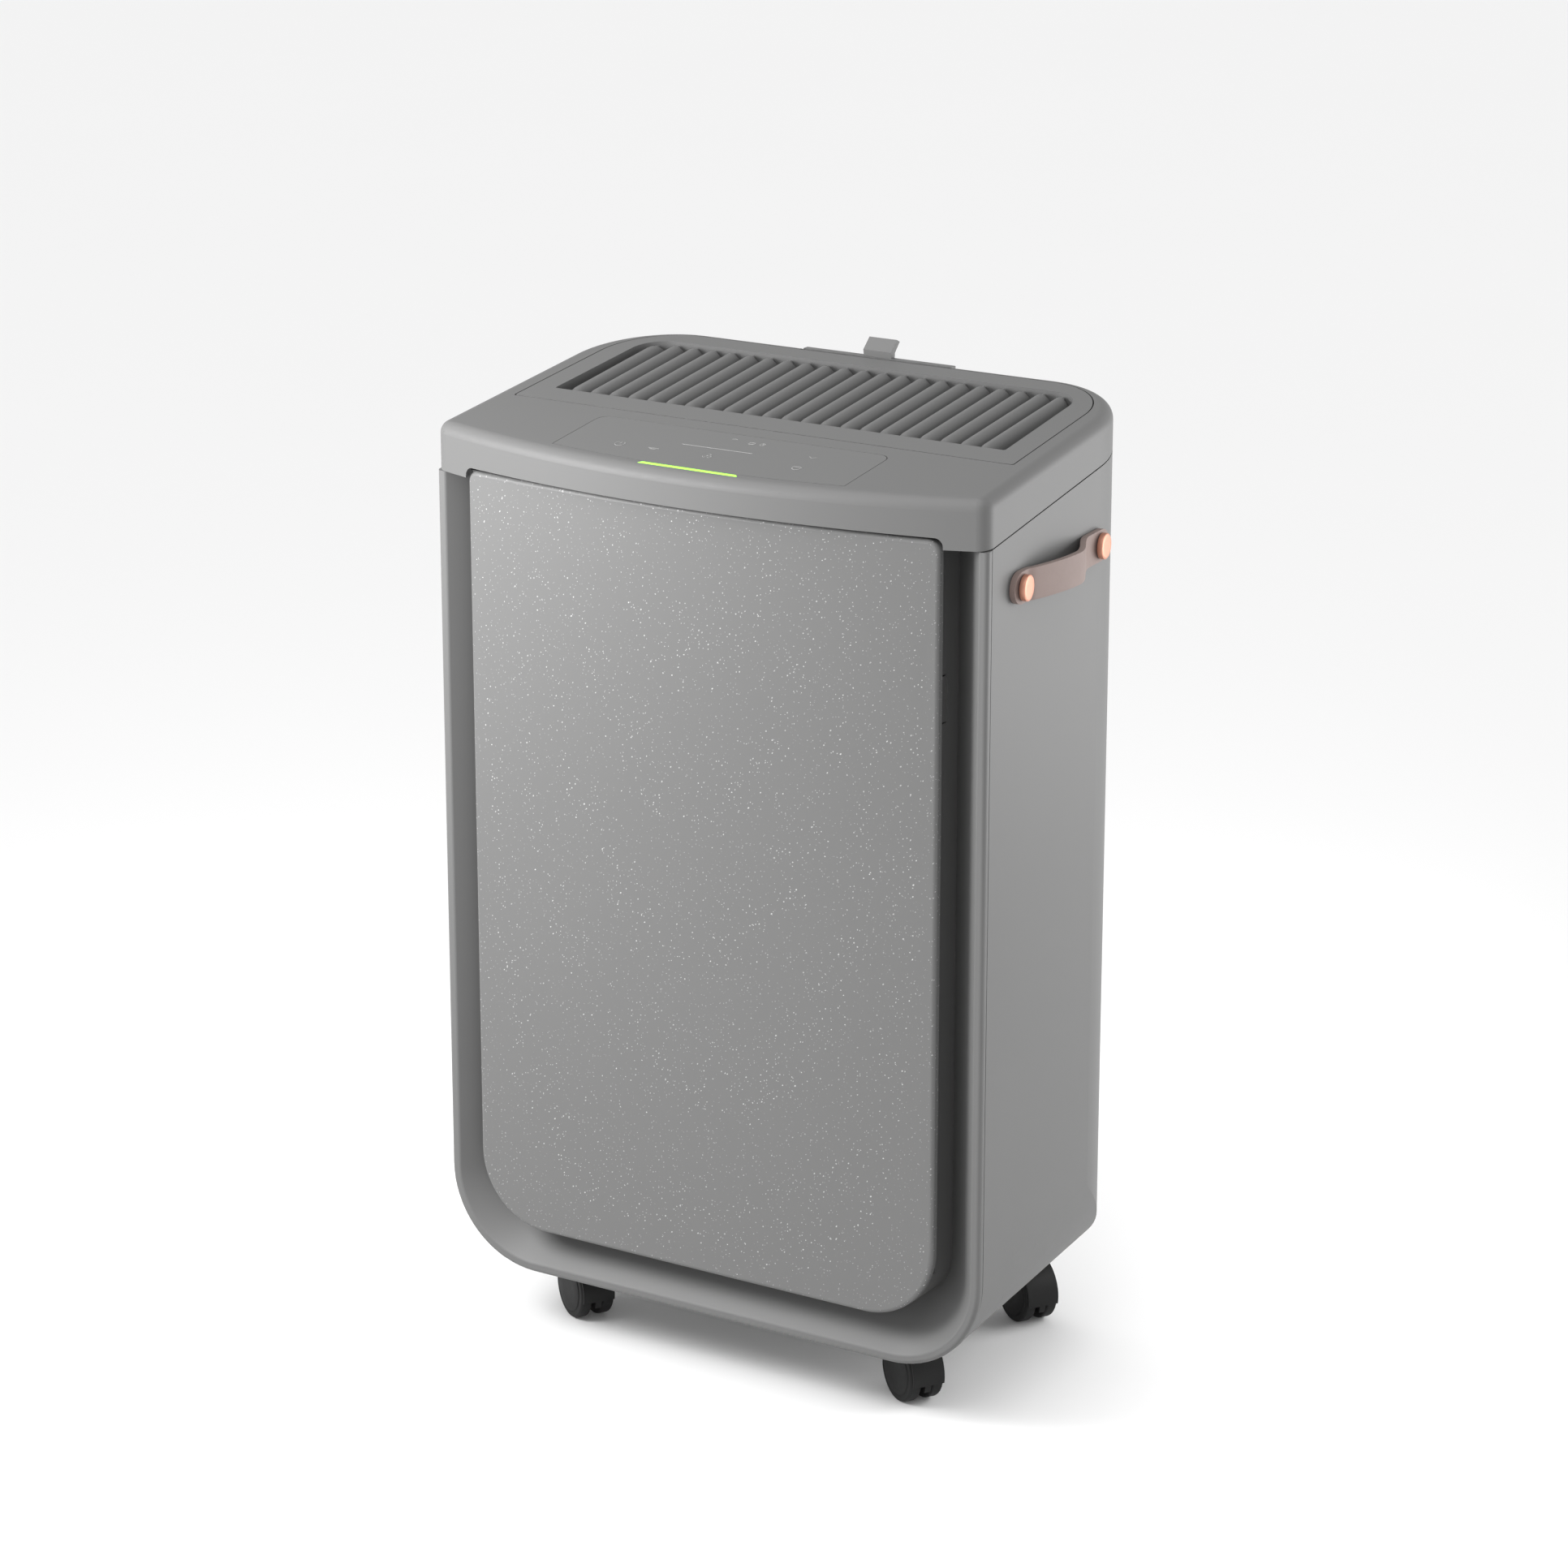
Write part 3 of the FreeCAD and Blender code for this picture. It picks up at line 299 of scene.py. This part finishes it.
finishes = {
    "shell_grey": moulding("shellGrey", greys["shell"]),
    "cap_grey": moulding("capGrey", greys["cap"]),
    "grille_grey": moulding("grilleGrey", greys["grille"]),
    "panel_speckle": speckledPanel("panelSpeckle", greys["panel"]),
    "lens_grey": touchLens("lensGrey", greys["lens"]),
    "light_green": glowBar("lightGreen"),
    "strap_leather": leather("strapLeather", (0.250, 0.186, 0.168)),
    "pin_copper": satinMetal("pinCopper", (0.62, 0.30, 0.21), 0.44, 0.7, 900.0, 0.01),
    "caster_black": rubberLike("casterBlack", (0.0045, 0.0045, 0.0045), 0.5),
    "tread_black": rubberLike("treadBlack", (0.005, 0.005, 0.005), 0.55),
    "tank_clear": smokeTank("tankClear", (0.62, 0.66, 0.68)),
    "inner_dark": moulding("innerDark", (0.04, 0.04, 0.04), 0.6),
    "mesh_dark": meshCloth("meshDark", (0.06, 0.06, 0.06)),
    "black_paint": satinMetal("blackPaint", (0.02, 0.02, 0.02), 0.35, 0.0, 900.0),
    "fin_aluminium": satinMetal("finAluminium", (0.75, 0.76, 0.77), 0.35),
    "copper": satinMetal("copperTube", (0.80, 0.42, 0.26), 0.3),
    "steel": satinMetal("zincSteel", (0.62, 0.62, 0.63), 0.35),
    "board_green": circuitBoard("boardGreen", (0.03, 0.16, 0.07)),
    "foot_rubber": rubberLike("footRubber", (0.02, 0.02, 0.02), 0.7),
}
symbolInk = printInk("symbolInk", (0.40, 0.40, 0.395))
# near-black for the screws' cross recesses: painted shade, not the steel's own colour
paintedRecessShade = moulding("paintedRecessShade", (0.02, 0.02, 0.02), 0.7)
for part in record["subparts"]:
    mesh = nodes[part["node"]].data
    mesh.materials.clear()
    mesh.materials.append(finishes[part["material_slot"]])
print("finishes assigned:", len(finishes))


samePoint = 1e-6


# turns a bmesh into an object of the scene
def newObject(name, work):
    mesh = bpy.data.meshes.new(name)
    work.to_mesh(mesh)
    work.free()
    made = bpy.data.objects.new(name, mesh)
    bpy.context.scene.collection.objects.link(made)
    return made


# turns a bmesh into a piece that rides on a body and takes a slot's finish
def addPiece(name, work, body, slotName, material=None, smooth=35.0):
    bmesh.ops.remove_doubles(work, verts=work.verts, dist=samePoint)
    bmesh.ops.recalc_face_normals(work, faces=work.faces)
    piece = newObject(name, work)
    mesh = piece.data
    mesh.materials.append(material or finishes[slotName])
    mesh.shade_smooth()
    mesh.set_sharp_from_angle(angle=math.radians(smooth))
    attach(piece, body)
    return piece


# spins a profile of (radius, height) points about the Z axis, then places it
def addLathe(work, profile, place, steps=48):
    before = set(work.verts)
    verts = [work.verts.new((radius, 0, height)) for radius, height in profile]
    edges = [work.edges.new(pair) for pair in zip(verts, verts[1:])]
    bmesh.ops.spin(work, geom=verts + edges, axis=(0, 0, 1), cent=(0, 0, 0), steps=steps,
                   angle=math.tau, use_merge=True)
    made = [v for v in work.verts if v not in before]
    bmesh.ops.remove_doubles(work, verts=made, dist=samePoint)
    made = [v for v in work.verts if v not in before]
    bmesh.ops.transform(work, matrix=place, verts=made)


# a matrix that stands +Z along an axis at a point
def standing(point, axis):
    return Matrix.Translation(Vector(point)) @ Vector(axis).to_track_quat("Z", "Y").to_matrix().to_4x4()


# smooth rise from 0 to 1
def easeStep(value):
    value = min(1.0, max(0.0, value))
    return value * value * (3 - 2 * value)


strapSizes = {
    "pins": (-0.0537, 0.0418),
    "walls": (0.18493, 0.18201),
    "end": 0.0105,        # from each pin to the rounded end
    "halfHeight": 0.0093,
    "tipHeight": 0.0004,  # half the height at the very end
    "tipJoin": 0.00002,   # points closer than this become one
    "thick": 0.0034,
    "edge": 0.0007,
    "rest": 0.0004,       # air under the flat ends
    "bulge": 0.0099,
    # distances from the near pin, except that start's second value is a length
    "start": (0.002, 0.010),
    "climb": (0.004, 0.056),
    "fall": (0.051, 0.081),
    "sag": 0.0008,
    "lift": (-0.0009, 0.0019),     # height of each pin from the strap's middle
    "columns": 120,
    "rows": 12,
}


# leather grip: climbs slowly from the front pin and drops in an S-bend before the rear one
def addStrap(name, node, side):
    s = strapSizes
    low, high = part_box(node)
    middleZ = (low[2] + high[2]) / 2
    nearPin, farPin = s["pins"]
    near, far = nearPin - s["end"], farPin + s["end"]
    work = bmesh.new()
    bmesh.ops.create_grid(work, x_segments=s["columns"], y_segments=s["rows"], size=1.0)
    for vert in work.verts:
        along, across = (vert.co.x + 1) / 2, vert.co.y
        y = near + (far - near) * (1 - math.cos(math.pi * along)) / 2
        fromEnd = min(y - near, far - y)
        half = s["halfHeight"]
        if fromEnd < half:
            half = max(s["tipHeight"], math.sqrt(max(0.0, half ** 2 - (half - fromEnd) ** 2)))
        run = y - nearPin
        climb = (run - s["climb"][0]) / (s["climb"][1] - s["climb"][0])
        rise = math.sin(math.pi / 2 * min(1.0, max(0.0, climb)))
        rise *= easeStep((run - s["start"][0]) / s["start"][1])
        rise *= 1 - easeStep((run - s["fall"][0]) / (s["fall"][1] - s["fall"][0]))
        wall = s["walls"][0] + (s["walls"][1] - s["walls"][0]) * run / (farPin - nearPin)
        stand = s["rest"] + rise * s["bulge"]
        lift = s["lift"][0] + (s["lift"][1] - s["lift"][0]) * run / (farPin - nearPin)
        vert.co = (side * (wall + stand), y, middleZ + lift + across * half - rise * s["sag"])
    bmesh.ops.remove_doubles(work, verts=work.verts, dist=s["tipJoin"])
    bmesh.ops.recalc_face_normals(work, faces=work.faces)
    if sum(face.normal.x * side for face in work.faces) < 0:
        bmesh.ops.reverse_faces(work, faces=work.faces)
    piece = newObject(name, work)
    piece.data.materials.append(finishes["strap_leather"])
    piece.data.shade_smooth()
    outward = piece.modifiers.new("thickness", "SOLIDIFY")
    outward.thickness = s["thick"]
    outward.offset = 1.0
    edge = piece.modifiers.new("edge", "BEVEL")
    edge.width = s["edge"]
    edge.segments = 3
    edge.limit_method = "ANGLE"
    edge.angle_limit = math.radians(50)
    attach(piece, "body")
    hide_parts(node)


addStrap("strapLeft", "strap_left", -1)
addStrap("strapRight", "strap_right", 1)
print("straps made")

pinSizes = {
    "y": strapSizes["pins"],
    "z": (0.5096, 0.5124),
    "wall": strapSizes["walls"],
    "face": 0.0041,       # from the side to the back of the head
    "headRadius": 0.0076,
    "headThick": 0.0036,
    "edge": 0.0005,
    "shank": 0.0025,
    "nutStart": -0.008,   # from the back of the head, inwards
    "nutEnd": -0.013,
    "nutRadius": 0.006,
    "turn": 8.0,          # degrees each head leans to the rear
}


# coin-shaped heads on both straps, each with its shank and nut inside the shell
def addPins():
    p = pinSizes
    r, t, e = p["headRadius"], p["headThick"], p["edge"]
    shank, nut = p["shank"], p["nutRadius"]
    head = [(0, t), (r * 0.5, t), (r - 2.4 * e, t), (r - e, t - e * 0.25), (r - e * 0.2, t - e),
            (r, t - 2 * e), (r, e), (r - e * 0.4, e * 0.3), (r - e, 0), (shank, 0),
            (shank, p["nutStart"]), (nut, p["nutStart"]), (nut, p["nutEnd"]), (0, p["nutEnd"])]
    work = bmesh.new()
    for side in (-1, 1):
        for y, z, wall in zip(p["y"], p["z"], p["wall"]):
            lean = math.radians(p["turn"])
            axis = (side * math.cos(lean), math.sin(lean), 0)
            addLathe(work, head, standing((side * (wall + p["face"]), y, z), axis), 56)
    piece = addPiece("strapPinHeads", work, "body", "pin_copper")
    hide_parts("strap_pins")


addPins()
print("pins made")

casterSizes = {
    "wheelRadius": 0.019,
    "pitch": 0.0146,
    "thick": 0.0076,
    "capRadius": 0.0149,
    "capProud": 0.0006,
    "capEdge": ((0.0012, 0), (0.0004, 0.0002), (0, 0.0007)),   # in from the rim, down from the top
    "capAir": 0.00005,
    "dish": 0.0012,
    "turn": 58.5,
    "x": 0.1175,
    "y": {"front": -0.046, "rear": 0.093},
}


# flat covers in the wheels' dished faces
def addHubCaps():
    c = casterSizes
    axle = Vector((math.cos(math.radians(c["turn"])), math.sin(math.radians(c["turn"])), 0))
    reach = c["pitch"] / 2 + c["thick"] / 2 - c["dish"] + c["capAir"]
    r, top = c["capRadius"], c["dish"] + c["capProud"]
    rounding = [(r - inward, top - down) for inward, down in c["capEdge"]]
    cover = [(0, top), (r * 0.5, top)] + rounding + [(r, 0), (0, 0)]
    for row, y in c["y"].items():
        for hand, sign in (("left", -1), ("right", 1)):
            work = bmesh.new()
            for end in (-1, 1):
                centre = Vector((sign * c["x"], y, c["wheelRadius"])) + axle * end * reach
                addLathe(work, cover, standing(centre, axle * end), 56)
            addPiece("hubCaps_" + row + "_" + hand, work, "wheels_" + row + "_" + hand, "caster_black")


addHubCaps()
print("hub caps made")

deck = {"lipY": -0.089, "z": 0.5655, "slope": 0.129}


# tilts a flat shape, drawn at the object's own x and y, about the lip on to the sloping deck
def onDeck(lift=0.0):
    tilt = Matrix.Rotation(math.atan(deck["slope"]), 4, "X")
    return (Matrix.Translation((0, deck["lipY"], deck["z"])) @ tilt
            @ Matrix.Translation((0, -deck["lipY"], lift)))


coveSizes = {
    "half": 0.186,
    "low": 0.0405,
    "corner": 0.0595,
    "top": 0.5362,
    "lipY": -0.08903,
    "tuck": (0.0006, 0.0004),   # how far it starts outside the rounding, and under the lip
    "flat": 0.0046,       # from the outline to where the rounding starts
    "round": 0.0025,
    "steepest": 46.0,
    "deep": (0.0362, -0.0573),
    "roundSteps": 14,
    "cornerSteps": 28,
}


# soft scoop between the lip and the pedestal, down both sides and across the bottom
def addCove():
    c = coveSizes
    section = [(c["flat"] - c["tuck"][0], c["lipY"] + c["tuck"][1])]
    for step in range(c["roundSteps"] + 1):
        a = math.radians(c["steepest"] * step / c["roundSteps"])
        section.append((c["flat"] + c["round"] * math.sin(a), c["lipY"] + c["round"] * (1 - math.cos(a))))
    section.append(c["deep"])
    left = [((-c["half"], c["top"]), (1, 0))]
    for step in range(c["cornerSteps"] + 1):
        a = math.radians(90 * step / c["cornerSteps"])
        inward = (math.cos(a), math.sin(a))
        x = -c["half"] + c["corner"] * (1 - inward[0])
        z = c["low"] + c["corner"] * (1 - inward[1])
        left.append(((x, z), inward))
    right = [((-x, z), (-nx, nz)) for (x, z), (nx, nz) in reversed(left)]
    path = left + right
    work = bmesh.new()
    bmesh.ops.create_grid(work, x_segments=len(path) - 1, y_segments=len(section) - 1, size=1.0)
    for vert in work.verts:
        (x, z), (nx, nz) = path[round((vert.co.x + 1) / 2 * (len(path) - 1))]
        inset, y = section[round((vert.co.y + 1) / 2 * (len(section) - 1))]
        vert.co = (x + nx * inset, y, z + nz * inset)
    addPiece("coveScoop", work, "body", "shell_grey", smooth=50.0)


addCove()
print("cove made")

bladeSizes = {
    "count": 22,
    "half": 0.1533,
    "front": -0.0130,
    "rear": 0.0860,
    "corner": 0.0200,     # radius of the opening's rear corners
    "side": 0.0028,       # from half to the opening's side
    "tuck": 0.0008,       # how far each end goes into the frame
    "frontDrop": 0.0021,
    "frontRun": 0.0100,
    "rearDrop": 0.0050,
    "rearRun": 0.0055,
    # percent of the blade's length
    "stations": (0, 0.4, 0.8, 3, 6, 9.2, 10.0, 10.8, 20, 45, 70, 92, 93.5, 94.5, 95.5, 96.5, 97.5, 98.5,
                 99.2, 100),
    # millimetres across from the blade's foot, and up from the deck
    "section": ((-2.0, -17.0), (-3.8, -12.0), (-5.6, -8.4), (-6.6, -6.4), (-7.1, -5.0), (-7.0, -3.8),
                (-6.4, -2.7), (-5.4, -1.9), (-4.2, -1.4), (-2.9, -1.3), (-1.6, -1.6), (-0.4, -2.3),
                (0.6, -3.3), (1.4, -4.7), (2.0, -6.6), (2.5, -9.2), (2.9, -12.6), (3.1, -17.0),
                (-2.0, -17.0)),
}


# rounded outlet blades with dipping ends, set over the plain ones
def addBlades():
    b = bladeSizes
    pitch = 2 * b["half"] / (b["count"] + 1)
    last = len(b["section"]) - 1
    steps = len(b["stations"]) - 1
    lowest = min(up for across, up in b["section"])
    highest = max(up for across, up in b["section"])
    work = bmesh.new()
    for index in range(b["count"]):
        foot = -b["half"] + (index + 1) * pitch
        made = bmesh.ops.create_grid(work, x_segments=last, y_segments=steps, size=1.0)["verts"]
        for vert in made:
            across, up = b["section"][round((vert.co.x + 1) / 2 * last)]
            x = foot + across / 1000
            over = max(0.0, abs(x) - (b["half"] - b["side"] - b["corner"]))
            rear = b["rear"] - b["corner"] + math.sqrt(max(0.0, b["corner"] ** 2 - over ** 2)) + b["tuck"]
            front = b["front"] - b["tuck"]
            y = front + (rear - front) * b["stations"][round((vert.co.y + 1) / 2 * steps)] / 100
            drop = b["frontDrop"] * max(0.0, 1 - (y - front) / b["frontRun"])
            drop += b["rearDrop"] * max(0.0, 1 - (rear - y) / b["rearRun"]) ** 2
            up -= drop * 1000 * (up - lowest) / (highest - lowest)
            vert.co = (x, y, up / 1000)
    bmesh.ops.transform(work, matrix=onDeck(), verts=work.verts)
    addPiece("outletBlades", work, "body", "grille_grey")


addBlades()
print("outlet blades made")

millimetre = 0.001
symbols = {
    "line": 0.00042,      # stroke width
    "thick": 0.00012,
    "lift": 0.00001,
    "power": (-0.0606, -0.0827),
    "mode": (-0.0377, -0.0827),
    "bar": ((-0.0259, -0.0703), (0.0210, -0.0698)),
    "fan": (-0.0009, -0.0825),
    "signal": (-0.0013, -0.0545),
    "tank": (0.0118, -0.0553),
    "clock": (0.0187, -0.0549),
    "chevron": (0.0570, -0.0633),
    "drop": (0.0575, -0.0815),
}


# a stroke of constant width along points, extruded a hair
def addStroke(work, points, closed=False):
    w = symbols["line"] / 2
    pairs = list(zip(points, points[1:] + points[:1])) if closed else list(zip(points, points[1:]))
    for a, b in pairs:
        a, b = Vector((*a, 0)), Vector((*b, 0))
        run = b - a
        made = bmesh.ops.create_cube(work, size=1.0)["verts"]
        shape = (Matrix.Translation((a + b) / 2) @ Matrix.Rotation(math.atan2(run.y, run.x), 4, "Z")
                 @ Matrix.Diagonal((run.length + w, 2 * w, symbols["thick"], 1)))
        bmesh.ops.transform(work, matrix=shape, verts=made)


def arcPoints(centre, radius, first, last, count):
    span = [math.radians(first + (last - first) * i / count) for i in range(count + 1)]
    return [(centre[0] + radius * math.cos(a), centre[1] + radius * math.sin(a)) for a in span]


# points given in millimetres from a centre
def around(centre, points):
    return [(centre[0] + x * millimetre, centre[1] + y * millimetre) for x, y in points]


# generic touch symbols: power, fan, signal, tank, clock, chevron, drop
def addSymbols():
    s = symbols
    work = bmesh.new()
    addStroke(work, arcPoints(s["power"], 0.0030, 125, 415, 28))
    addStroke(work, around(s["power"], [(0, 0.4), (0, 3.2)]))
    addStroke(work, around(s["mode"], [(-3.4, 0.5), (3.4, 0.5)]))
    addStroke(work, around(s["mode"], [(-2.0, -0.9), (2.0, -0.9)]))
    addStroke(work, list(s["bar"]))
    for turn in (0, 120, 240):
        a = math.radians(turn + 90)
        centre = (s["fan"][0] + 0.0017 * math.cos(a), s["fan"][1] + 0.0017 * math.sin(a))
        addStroke(work, arcPoints(centre, 0.00125, turn, turn + 270, 14))
    for radius in (0.0012, 0.0024):
        addStroke(work, arcPoints(s["signal"], radius, 45, 135, 8))
    addStroke(work, around(s["tank"], [(-1.7, -1.2), (1.7, -1.2), (1.7, 1.2), (-1.7, 1.2)]), closed=True)
    addStroke(work, arcPoints(s["clock"], 0.0016, 0, 360, 20))
    addStroke(work, around(s["clock"], [(0, 1.0), (0, 0), (0.8, 0)]))
    addStroke(work, around(s["chevron"], [(-2.2, 0.9), (0, -0.9), (2.2, 0.9)]))
    drop = [(-2.8, 1.6), (-1.0, 2.2), (1.0, 2.2), (2.8, 1.6), (2.2, -1.2), (0, -2.6), (-2.2, -1.2)]
    addStroke(work, around(s["drop"], drop), closed=True)
    bmesh.ops.transform(work, matrix=onDeck(s["thick"] / 2 + s["lift"]), verts=work.verts)
    addPiece("touchSymbols", work, "body", "lens_grey", symbolInk, 20.0)


addSymbols()
print("touch symbols made")

screwSizes = {
    "x": 0.100,
    "z": (0.090, 0.320, 0.545),
    "rearY": 0.107,
    "radius": 0.0036,
    "high": 0.0014,
    "shank": 0.0016,
    "shankEnd": -0.016,
    "slotTurns": (20, 110),
    "slotLong": 0.0042,
    "slotWide": 0.0009,
    "slotMiddle": 0.82,   # shares of the head's height
    "slotDeep": 0.46,
}


# domed screw heads with a crossed recess; the recess is a near-black insert, painted shade standing in for
# the shade inside it
def addScrews():
    s = screwSizes
    r, h, shank = s["radius"], s["high"], s["shank"]
    dome = [(0, h), (r * 0.45, h * 0.97), (r * 0.75, h * 0.82), (r * 0.93, h * 0.5), (r, h * 0.15), (r, 0),
            (shank, 0), (shank, s["shankEnd"]), (0, s["shankEnd"])]
    heads = bmesh.new()
    crosses = bmesh.new()
    for x in (-s["x"], s["x"]):
        for z in s["z"]:
            addLathe(heads, dome, standing((x, s["rearY"], z), (0, 1, 0)), 40)
            for turn in s["slotTurns"]:
                made = bmesh.ops.create_cube(crosses, size=1.0)["verts"]
                shape = (Matrix.Translation((x, s["rearY"] + h * s["slotMiddle"], z))
                         @ Matrix.Rotation(math.radians(turn), 4, "Y")
                         @ Matrix.Diagonal((s["slotLong"], h * s["slotDeep"], s["slotWide"], 1)))
                bmesh.ops.transform(crosses, matrix=shape, verts=made)
    piece = addPiece("screwHeads", heads, "body", "steel")
    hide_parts("cover_screws")
    # the crosses take the near-black finish: painted shade in the recesses
    addPiece("screwCrosses", crosses, "body", "steel", paintedRecessShade, 20.0)


addScrews()

plugSizes = {
    "x": -0.070,
    "z": 0.100,
    "back": 0.1096,
    "radius": 0.0088,
    "high": 0.0042,
    "ribs": 24,
    "rib": 0.0005,
    "rim": 0.0012,
    "crown": 0.0005,
    "dish": 0.0006,
    "stem": ((0, -0.008), (0.00475, -0.008), (0.00475, 0.0006), (0, 0.0006)),   # radius, height
}


# ribbed pull-off plug on the drain outlet
def addDrainPlug():
    p = plugSizes
    place = standing((p["x"], p["back"], p["z"]), (0, 1, 0))
    count = p["ribs"] * 4
    work = bmesh.new()
    bmesh.ops.create_circle(work, cap_ends=True, radius=p["radius"], segments=count)
    base = list(work.verts)
    for vert in base:
        turn = math.atan2(vert.co.y, vert.co.x) * p["ribs"]
        vert.co *= 1 + p["rib"] / p["radius"] * math.cos(turn)
    made = bmesh.ops.extrude_face_region(work, geom=list(work.faces))["geom"]
    top = [v for v in made if isinstance(v, bmesh.types.BMVert)]
    bmesh.ops.translate(work, vec=(0, 0, p["high"]), verts=top)
    cap = [f for f in work.faces if f.normal.z > 0.9 and all(v in top for v in f.verts)]
    bmesh.ops.inset_region(work, faces=cap, thickness=p["rim"], depth=p["crown"])
    bmesh.ops.inset_region(work, faces=cap, thickness=p["rim"], depth=-p["dish"])
    bmesh.ops.transform(work, matrix=place, verts=work.verts)
    addLathe(work, p["stem"], place)
    piece = addPiece("drainPlug", work, "drain_cap", "foot_rubber", smooth=25.0)
    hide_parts("drain_cap")


addDrainPlug()

glandSizes = {
    "x": 0.075,
    "z": 0.110,
    "face": 0.1094,
    # radius, height
    "ring": ((0.0042, 0), (0.0042, 0.0022), (0.0048, 0.0028), (0.0070, 0.0028), (0.0078, 0.0022),
             (0.0084, 0.0010), (0.0100, 0.0008), (0.0108, 0.0004), (0.0110, 0), (0.0042, 0)),
}


# stepped collar round the mains inlet
def addGlandCollar():
    g = glandSizes
    work = bmesh.new()
    addLathe(work, g["ring"], standing((g["x"], g["face"], g["z"]), (0, 1, 0)), 56)
    addPiece("inletCollar", work, "body", "inner_dark")


addGlandCollar()
print("rear fittings made")

markSizes = {
    "x": 0.1381,
    "y": (-0.070, -0.058),
    "z": (0.130, 0.160, 0.190, 0.220, 0.250),
    "high": 0.0010,
    "proud": 0.0006,
    "edge": 0.0002,
    "short": 0.6,         # every second mark's share of a full one
}


# raised level marks on both ends of the water tank
def addLevelMarks():
    m = markSizes
    full = m["y"][1] - m["y"][0]
    work = bmesh.new()
    for side in (-1, 1):
        for index, z in enumerate(m["z"]):
            long = full if index % 2 == 0 else m["short"] * full
            made = bmesh.ops.create_cube(work, size=1.0)["verts"]
            shape = (Matrix.Translation((side * m["x"], m["y"][0] + long / 2, z))
                     @ Matrix.Diagonal((m["proud"] * 2, long, m["high"], 1)))
            bmesh.ops.transform(work, matrix=shape, verts=made)
    bmesh.ops.bevel(work, geom=work.edges[:], offset=m["edge"], affect="EDGES", segments=2, profile=0.5,
                    material=-1)
    addPiece("levelMarks", work, "drawer", "tank_clear")


addLevelMarks()
print("tank marks made")

studio = {
    "floorColor": (0.94, 0.94, 0.94),
    "floorSize": 40.0,
    "sky": (1.0, 1.0, 1.0),
    "skyStrength": 0.57,
    "sun": {"tilt": (20.0, -8.0, 0.0), "strength": 1.38, "softness": 70.0},
}
# place, aim, width, power
lamps = {
    "keyLeft": ((-0.45, -0.57, 0.66), (-0.02, -0.1, 0.40), 0.36, 6.6),
    "fillRight": ((1.0, -1.8, 0.6), (0, 0, 0.35), 1.2, 5.2),
    "rearRight": ((0.62, 0.42, 0.45), (0.18, 0.06, 0.35), 0.5, 3.7),
}
camera = {"azimuth": 32.0, "elevation": 17.2, "distance": 2.8578, "target": (-0.0123, 0.0173, 0.3438),
          "lens": 109.62, "sensor": 36.0}


def addFloor():
    work = bmesh.new()
    bmesh.ops.create_grid(work, x_segments=1, y_segments=1, size=studio["floorSize"])
    floor = newObject("floor", work)
    finish = Finish("floorPale", studio["floorColor"])
    tone = finish.tint(finish.noise(2.0), shade(studio["floorColor"], 0.99), studio["floorColor"])
    finish.set(Base_Color=tone, Roughness=0.8)
    floor.data.materials.append(finish.material)
    floor.visible_diffuse = False


def addLamp(name, place, target, size, power):
    lamp = bpy.data.lights.new(name, "AREA")
    lamp.size = size
    lamp.energy = power
    lampObject = bpy.data.objects.new(name, lamp)
    lampObject.location = place
    aim = Vector(target) - Vector(place)
    lampObject.rotation_euler = aim.to_track_quat("-Z", "Y").to_euler()
    lampObject.visible_camera = False
    bpy.context.scene.collection.objects.link(lampObject)


def addSun():
    sun = bpy.data.lights.new("softSun", "SUN")
    sun.energy = studio["sun"]["strength"]
    sun.angle = math.radians(studio["sun"]["softness"])
    sunObject = bpy.data.objects.new("softSun", sun)
    sunObject.rotation_euler = [math.radians(turn) for turn in studio["sun"]["tilt"]]
    bpy.context.scene.collection.objects.link(sunObject)


def addSky():
    sky = bpy.data.worlds.new("studio")
    bpy.context.scene.world = sky
    sky.use_nodes = True
    background = sky.node_tree.nodes["Background"]
    background.inputs["Color"].default_value = (*studio["sky"], 1)
    background.inputs["Strength"].default_value = studio["skyStrength"]


def addCamera():
    turn, tilt = math.radians(camera["azimuth"]), math.radians(camera["elevation"])
    back = Vector((math.sin(turn) * math.cos(tilt), -math.cos(turn) * math.cos(tilt), math.sin(tilt)))
    lens = bpy.data.cameras.new("camera")
    lens.lens = camera["lens"]
    lens.sensor_width = camera["sensor"]
    lens.clip_end = 50.0
    eye = bpy.data.objects.new("camera", lens)
    eye.location = Vector(camera["target"]) + back * camera["distance"]
    eye.rotation_euler = (-back).to_track_quat("-Z", "Y").to_euler()
    bpy.context.scene.collection.objects.link(eye)
    bpy.context.scene.camera = eye


bpy.context.scene.view_settings.view_transform = "Standard"
addFloor()
addSun()
for lampName, spec in lamps.items():
    addLamp(lampName, *spec)
addSky()
addCamera()
print("studio ready")
